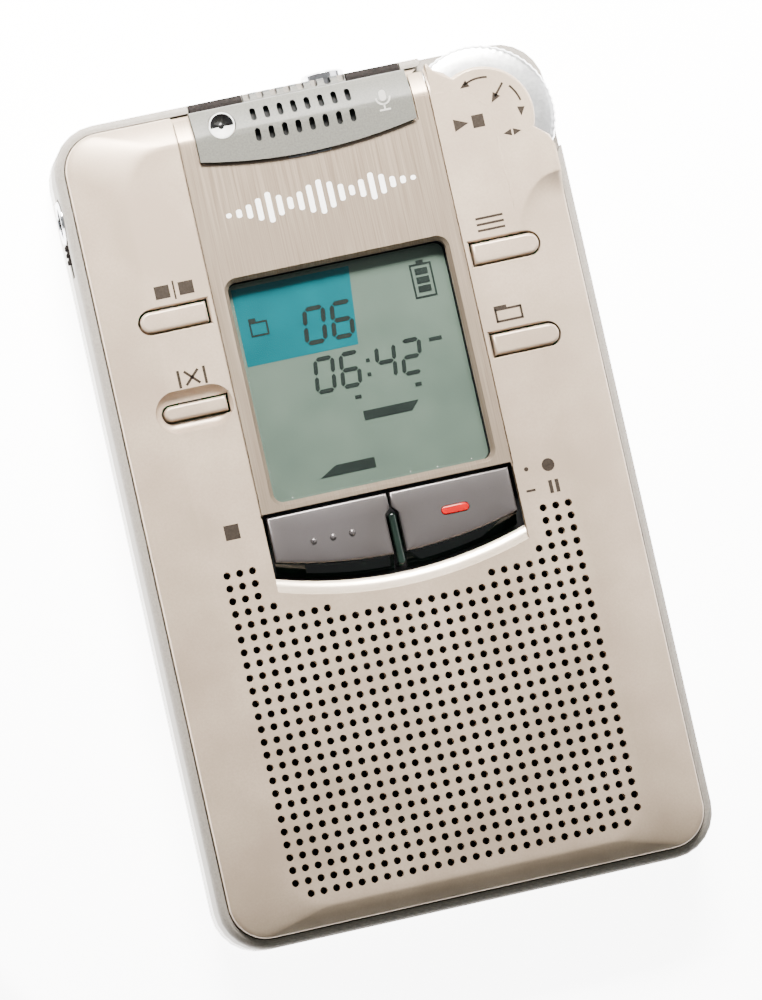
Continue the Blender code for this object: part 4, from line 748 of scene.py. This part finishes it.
panel = column(rounded(-PANEL_HALF, PANEL_HALF, KEY_Y, FACE_Y - 0.6, 0.02, 1), FACE_Z - 3.5, HIGH)
panel.name = "brushed_panel"
cut(panel, loft("cutter", face_levels(0.0, LOW)), "INTERSECT")
cut(panel, loft("cutter", face_levels(-PANEL_THICK, LOW - 1)))
window, wide_window = window_outline(0.0), window_outline(CHAMFER)
cut(panel, loft("cutter", [(window, LOW), (window, FACE_Z - CHAMFER), (wide_window, FACE_Z + 0.01),
                           (wide_window, HIGH)]))
cut(panel, column(cover_outline(COVER_GAP, FACE_Y + 1.1), LOW, HIGH))
soften(panel, 0.22 * MM, 40)
shade(panel, 40)
settle(panel, "case", "brushed", brushed, "centre_panel")


# Microphone cover, its top grille and the indicator lens
# A grey moulded bridge over the microphone with two rows of upright slots, which run on over the top edge.

grey_abs = moulded("grey_abs", "#504f4a", "#5e5d56", 0.46, 0.2 * MM, 0.01 * MM, 0.3)
SLOT_PITCH, SLOT_RADIUS = 1.478, 0.3
LENS_X, LENS_Y, LENS_HOLE = -8.7, 41.5, 1.5
cover = column(cover_outline(0.0, FACE_Y + 1.1), FACE_Z - 4, FACE_Z + 1)
cover.name = "slotted_cover"
cut(cover, loft("cutter", face_levels(0.49, LOW)), "INTERSECT")
cut(cover, loft("cutter", face_levels(-0.4, LOW - 1)))
slot_turn = np.linspace(-math.pi / 2, math.pi / 2, 9)
half_round = np.stack([SLOT_RADIUS * np.sin(slot_turn), SLOT_RADIUS * np.cos(slot_turn)], 1)
slot = np.concatenate([half_round + (0, 0.42), -half_round - (0, 0.42)])[::-1]
for slot_y in (42.0, 39.7):
    for index in range(8):
        cut(cover, column(slot + ((index - 3.5) * SLOT_PITCH, slot_y), LOW, HIGH))
cut(cover, round_tool((LENS_X, LENS_Y, LOW), "up", LENS_HOLE, 18))
soften(cover, 0.07 * MM, 40)
shade(cover, 40)
settle(cover, "case", "grey_plastic", grey_abs, "mic_cover")
gauze = column(cover_outline(-0.3, FACE_Y + 0.1, COVER_DEPTH - 0.9), FACE_Z - 4, FACE_Z + 1)
gauze.name = "dust_gauze"
cut(gauze, loft("cutter", face_levels(-0.42, LOW)), "INTERSECT")
cut(gauze, loft("cutter", face_levels(-0.5, LOW - 1)))
cut(gauze, round_tool((LENS_X, LENS_Y, LOW), "up", LENS_HOLE, 18))
settle(gauze, "case", "cloth", cloth)

# The cover is moulded grey; the walls of its slots are coloured black as painted shade inside the slots.
cover.data.materials.append(black_abs_and_painted_shade)
for face in cover.data.polygons:
    x, y, z = face.center / MM
    if abs(face.normal.z) < 0.5 and abs(x) < 5.7 and 38.6 < y < 43.2:
        face.material_index = 1

# The insert in the top rim carries two more rows of slots, the outer one open to the edge.
teeth = refine("top_mic_grille", "toothed_insert", 0)
teeth.modifiers.clear()
insert_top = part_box("top_mic_grille")[1] / MM
notches = [((index - 3) * SLOT_PITCH, insert_top.y - 1.25) for index in range(7)]
notches += [((index - 3.5) * SLOT_PITCH, insert_top.y - 0.25) for index in range(8)]
for x, y in notches:
    cut(teeth, column(rounded(x - 0.38, x + 0.38, y - 0.6, y + 0.3, 0.25, 4), insert_top.z - 1.3, HIGH))
shade(teeth, 35)
settle(teeth, "case", "grey_plastic", grey_abs, "top_mic_grille")
# The walls and floors of these slots are coloured black: painted shade inside the slots.
teeth.data.materials.append(black_abs_and_painted_shade)
for face in teeth.data.polygons:
    x, y, z = face.center / MM
    if abs(x) < 5.7 and z < insert_top.z - 0.2 and 0.03 < insert_top.y - y < 2.2:
        face.material_index = 1
for end in ("left", "right"):
    strip = refine("top_trim_" + end, "charcoal_strip_" + end, 0.05 * MM)
    settle(strip, "case", "charcoal", charcoal, "top_trim_" + end)


def turned_solid(name, x, y, profile, steps=48):
    """Closed solid of revolution about the vertical through (x, y), from (radius, height) pairs upwards."""
    return loft(name, [(round_outline(x, y, radius, steps), height) for radius, height in profile])


lens_top = FACE_Z - 0.05
lens = turned_solid("indicator_cone", LENS_X, LENS_Y, [
    (0.7, lens_top - 2.0), (0.7, lens_top - 1.1), (1.4, lens_top - 0.5), (1.4, lens_top), (1.25, lens_top),
    (0.3, lens_top - 0.75), (0.12, lens_top - 0.7)])
shade(lens, 25)
frosted = moulded("frosted_white_acrylic", "#d4d4d2", "#e6e6e4", 0.30, 0.5 * MM, 0.002 * MM)
settle(lens, "case", "clear_white", frosted, "indicator_lens")
# The bottom of the lens's funnel and its upper wall are coloured dark: painted shade in the hollow.
lens.data.materials.append(moulded("painted_shade_acrylic", "#101010", "#191919", 0.15, 0.5 * MM, 0.0))
for face in lens.data.polygons:
    x, y, z = face.center / MM
    reach = math.hypot(x - LENS_X, y - LENS_Y)
    if z > FACE_Z - 1.3 and (reach < 0.5 or reach < 1.0 and y > LENS_Y - 0.1):
        face.material_index = 1
red_glow = moulded("red_led_epoxy", "#8c1411", "#b31d18", 0.25)
dress(red_glow, "indicator_led")


# Stop and record keys
# Two moulded keys with a metallised cap on a gloss black body; a black rib keeps them apart.

key_metal = lacquer("grey_violet_metallised_cap", "#5a5554", "#666162", 0.30, 0.60, 0.08 * MM)
gloss_black = clouded("gloss_black_abs", "#0b120f", "#14201b", 3 * MM, 0.12)


def key_outline(side, inset):
    """Cap's outline, drawn in by inset: it reaches the middle above the rib and steps back beside it."""
    depth, inner, outer = 4.7 - inset, 0.7 + inset, 13.2 - inset
    x = np.linspace(inner, outer, 40)
    lower = np.stack([x, KEY_Y - 0.4 - depth - 1.8 * (1 - (x / 13.6) ** 2)], 1)
    y_high, close, foot = KEY_Y - 0.4 - inset, 0.12 + inset, KEY_Y - 2.0 - inset * 0.6
    upper = [(outer, y_high), (close, y_high), (close, foot), (inner, foot - 0.7)]
    outline = np.concatenate([upper, lower])
    return outline if side > 0 else (outline * (-1, 1))[::-1]


def crown_levels(outline, low, high, radius, steps, reach=math.pi / 2):
    """Levels of an upright prism with a round upper edge; outline gives its form for an inset."""
    levels = [(outline(0.0), low)]
    for angle in np.linspace(0, reach, steps):
        levels.append((outline(radius * (1 - math.cos(angle))), high - radius * (1 - math.sin(angle))))
    return levels


def slot_outline(x, y, half_length, half_width, radius, inset):
    """Outline of a lying slot round (x, y), drawn in by inset."""
    return rounded(x - half_length + inset, x + half_length - inset, y - half_width + inset,
                   y + half_width - inset, radius - inset, 8)


# Thin black sheet on the board, seen through the gap round the keys: painted shade that keeps the gap dark.
shade_sheet_outline = bowed(-14.2, 14.2, KEY_Y + 0.5, 7.2, 2.1, 13.7)
mat = flat_piece("painted_shade_sheet", [shade_sheet_outline * MM], (FACE_Z - 4.25) * MM, 0.05 * MM)
settle(mat, "case", "black_plastic", black_abs_and_painted_shade)

LENS_CENTRE, LENS_DROP, DOT_DROP, DOT_PITCH = 6.7, 3.6, 3.8, 2.1
for label, side in (("stop", -1), ("rec", 1)):
    low, high = (corner.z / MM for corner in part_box(label + "_key"))
    if label == "stop":
        high = FACE_Z - 0.2
    levels = crown_levels(lambda inset: key_outline(side, inset), low, high - 0.1, 0.3, 6, math.pi / 2 - 0.2)
    for inset in (0.5, 0.9, 1.4, 1.9):
        levels.append((key_outline(side, inset), high - 0.09 * ((1.9 - inset) / 1.6) ** 2))
    cap = loft(label + "_cap", levels)
    if label == "rec":
        cut(cap, column(slot_outline(LENS_CENTRE, KEY_Y - LENS_DROP, 1.55, 0.5, 0.49, 0.0), LOW, HIGH))
    else:
        for dot in range(3):
            dome = [(0.36, -0.3), (0.36, 0.0), (0.33, 0.12), (0.24, 0.2), (0.1, 0.24)]
            cut(cap, turned_solid("cutter", -8.8 + DOT_PITCH * dot, KEY_Y - DOT_DROP,
                                  [(radius, high + rise) for radius, rise in dome], 24), "UNION")
    shade(cap, 35)
    settle(cap, label + "_key", "lilac_metal", key_metal, label + "_key")
    key_body = refine(label + "_key_base", label + "_key_body", 0.1 * MM)
    settle(key_body, label + "_key", "gloss_dark", gloss_black, label + "_key_base")

rib_low, rib_high = (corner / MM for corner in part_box("key_divider"))


def rib_outline(inset):
    """Outline of the rib between the keys, drawn in by inset."""
    return rounded(-0.4 + inset, 0.4 - inset, rib_low.y + inset, KEY_Y - 2.6 - inset, 0.38 - inset, 5)


rib = loft("rib_between_keys", crown_levels(rib_outline, rib_low.z, rib_high.z, 0.25, 5))
shade(rib, 35)
settle(rib, "case", "black_plastic", gloss_black, "key_divider")

red_acrylic = clouded("red_acrylic", "#a00006", "#b80309", 1.5 * MM, 0.10)
lens_low, lens_high = (corner.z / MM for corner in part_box("rec_lens"))
red = loft("record_lens", crown_levels(
    lambda inset: slot_outline(LENS_CENTRE, KEY_Y - LENS_DROP, 1.5, 0.45, 0.44, inset), lens_low, lens_high,
    0.15, 5))
shade(red, 35)
settle(red, "rec_key", "red_lens", red_acrylic, "rec_lens")


# Four small buttons
# D-shaped moulded buttons with a softened crown, sprayed like the face.

BUTTON_GAP = 0.25
for label in BUTTONS:
    low, high = (corner.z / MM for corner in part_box(label + "_button"))
    button = loft(label + "_cap", crown_levels(
        lambda inset: button_outline(label, -BUTTON_GAP - inset), low, high, 0.35, 7))
    shade(button, 35)
    settle(button, label + "_button", "silver_paint", champagne, label + "_button")


# Jog dial
# Turned and knurled dial under the lobe of the face, bright plated.

bright_plate = plated("satin_chrome_plate", "#dcdcdc", "#f2f2f2", 0.30)
KNURLS, KNURL_DEPTH = 60, 0.10
dial_low, dial_high = (corner.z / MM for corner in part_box("jog_dial"))
turn = np.linspace(0, 2 * math.pi, 360, endpoint=False)
knurl = KNURL_DEPTH * (0.5 - 0.5 * np.cos(turn * KNURLS))
# Radius, height and share of the knurl, from the bore's lower edge round to its upper edge.
profile = [(1.8, dial_low, 0), (7.6, dial_low, 0), (8.05, dial_low + 0.35, 1), (8.09, dial_low + 0.6, 1),
           (8.09, dial_high - 0.75, 1), (8.0, dial_high - 0.5, 1), (7.8, dial_high - 0.32, 0.5),
           (7.4, dial_high - 0.22, 0), (5.9, dial_high, 0), (1.8, dial_high, 0)]
rings = np.array([lift(np.stack([DIAL_X + (radius - knurl * share) * np.cos(turn),
                                 DIAL_Y + (radius - knurl * share) * np.sin(turn)], 1), height)
                  for radius, height, share in profile]) * MM
rows, columns = rings.shape[:2]
row, place = np.meshgrid(np.arange(rows), np.arange(columns), indexing="ij")
quads = np.stack([row * columns + place, row * columns + (place + 1) % columns,
                  (row + 1) % rows * columns + (place + 1) % columns, (row + 1) % rows * columns + place], -1)
dial = mesh_piece("knurled_dial", rings.reshape(-1, 3), quads.reshape(-1, 4).tolist())
shade(dial, 40)
settle(dial, "jog_dial", "lilac_metal", bright_plate, "jog_dial")


# Printed markings
# Pad-printed signs in warm grey ink stand by what they name, and a white wave sign fills the panel.

def ring_sign(x, y, radius, start, stop, stroke, steps=16):
    """Arc of the given stroke from start to stop degrees, in millimetres."""
    angles = np.radians(np.linspace(start, stop, steps))
    unit = np.stack([np.cos(angles), np.sin(angles)], 1)
    outer, inner = unit * (radius + stroke / 2), unit * (radius - stroke / 2)
    return (np.concatenate([outer, inner[::-1]]) + (x, y)) * MM


def stroke_sign(x0, y0, x1, y1, stroke):
    """Straight stroke between two points, in millimetres."""
    start, stop = np.array((x0, y0)), np.array((x1, y1))
    along = (stop - start) / np.linalg.norm(stop - start)
    across = np.array((-along[1], along[0])) * stroke / 2
    return np.array([start + across, start - across, stop - across, stop + across]) * MM


def arrow_head(x, y, angle, size):
    """Triangle with its point at (x, y), aimed along angle in degrees."""
    turn = math.radians(angle)
    shape = np.array([(0, 0), (-size, size * 0.42), (-size, -size * 0.42)])
    spin = np.array([[math.cos(turn), math.sin(turn)], [-math.sin(turn), math.cos(turn)]])
    return (shape @ spin + (x, y)) * MM


INK_LIFT, INK_THICK = 0.004 * MM, 0.012 * MM
# Square by the stop key; halves by divide; a crossed box by erase; lines by mode; a folder outline.
signs = [bar(-17.9, -1.8, -16.3, -0.2)]
signs += [bar(-19.6, 24.7, -18.0, 26.1), bar(-17.0, 24.7, -15.4, 26.1), bar(-17.6, 24.4, -17.4, 26.4)]
signs += [stroke_sign(-18.4, 15.2, -16.9, 16.7, 0.28), stroke_sign(-16.9, 15.2, -18.4, 16.7, 0.28),
          bar(-19.2, 15.0, -18.9, 16.9), bar(-16.4, 15.0, -16.1, 16.9)]
signs += [bar(15.6, 24.7 + step, 18.6, 24.95 + step) for step in (0.0, 0.65, 1.3)]
signs += [bar(15.4, 14.8, 18.4, 15.05), bar(15.4, 14.8, 15.65, 16.3), bar(18.15, 14.8, 18.4, 16.3),
          bar(15.4, 16.05, 18.4, 16.3), bar(15.4, 16.3, 16.8, 16.6)]
# Dot and dash with a disc and two bars by the record key.
signs += [ring_sign(15.0, -1.05, 0.12, 0, 360, 0.24), ring_sign(17.4, -1.05, 0.35, 0, 360, 0.7)]
signs += [bar(14.5, -3.5, 15.5, -3.25), bar(17.0, -4.1, 17.4, -2.7), bar(17.7, -4.1, 18.1, -2.7)]
# Round the dial: play and stop, both directions, and arrows for turning and pressing.
signs += [arrow_head(17.2, 36.4, 0, 1.6), bar(17.6, 35.7, 18.9, 37.1)]
signs += [arrow_head(22.6, 34.5, 0, 0.9), arrow_head(20.6, 34.5, 180, 0.9)]
signs += [ring_sign(19.4, 37.0, 3.9, 118, 78, 0.22), arrow_head(17.1, 40.15, 205, 1.0)]
signs += [stroke_sign(21.7, 39.9, 20.6, 38.6, 0.24), arrow_head(20.1, 38.0, 230, 1.1)]
signs += [ring_sign(19.2, 36.8, 4.1, 40, 12, 0.22), arrow_head(22.95, 36.0, 262, 1.0)]
ink = moulded("warm_grey_pad_print", "#2b2520", "#352e28", 0.6, 0.2 * MM, 0.002 * MM, 0.05)
labels = flat_piece("printed_signs", signs, FACE_Z * MM + INK_LIFT, INK_THICK)
settle(labels, "case", "charcoal", ink)

# A microphone outline on the cover, whose flat stands 0.49 mm over the face.
microphone = [rounded(8.33, 9.07, 40.5, 41.7, 0.36, 6) * MM, ring_sign(8.7, 40.9, 0.75, 180, 360, 0.18),
              bar(8.61, 39.6, 8.79, 40.2), bar(8.1, 39.45, 9.3, 39.63)]
pale_ink = moulded("pale_grey_pad_print", "#a5a29c", "#b4b1ab", 0.5, 0.2 * MM, 0.002 * MM)
microphone_sign = flat_piece("microphone_sign", microphone, (FACE_Z + 0.489) * MM, 0.008 * MM)
settle(microphone_sign, "case", "grey_plastic", pale_ink)

# Heights of the wave sign's bars.
wave = [0.5, 0.9, 1.5, 2.4, 3.3, 2.2, 1.3, 2.0, 3.0, 3.7, 2.8, 1.8, 1.1, 1.9, 2.9, 2.1, 1.2, 0.8, 0.5]
wave_bars = []
for index, tall in enumerate(wave):
    x = (index - (len(wave) - 1) / 2) * 1.12
    wave_bars.append(rounded(x - 0.3, x + 0.3, 31.9 - tall / 2, 31.9 + tall / 2, 0.24, 4) * MM)
white_ink = moulded("white_pad_print", "#f4f2ef", "#fdfcfa", 0.5, 0.2 * MM, 0.002 * MM)
wave_sign = flat_piece("white_wave_sign", wave_bars, FACE_Z * MM + INK_LIFT, INK_THICK)
settle(wave_sign, "case", "clear_white", white_ink)
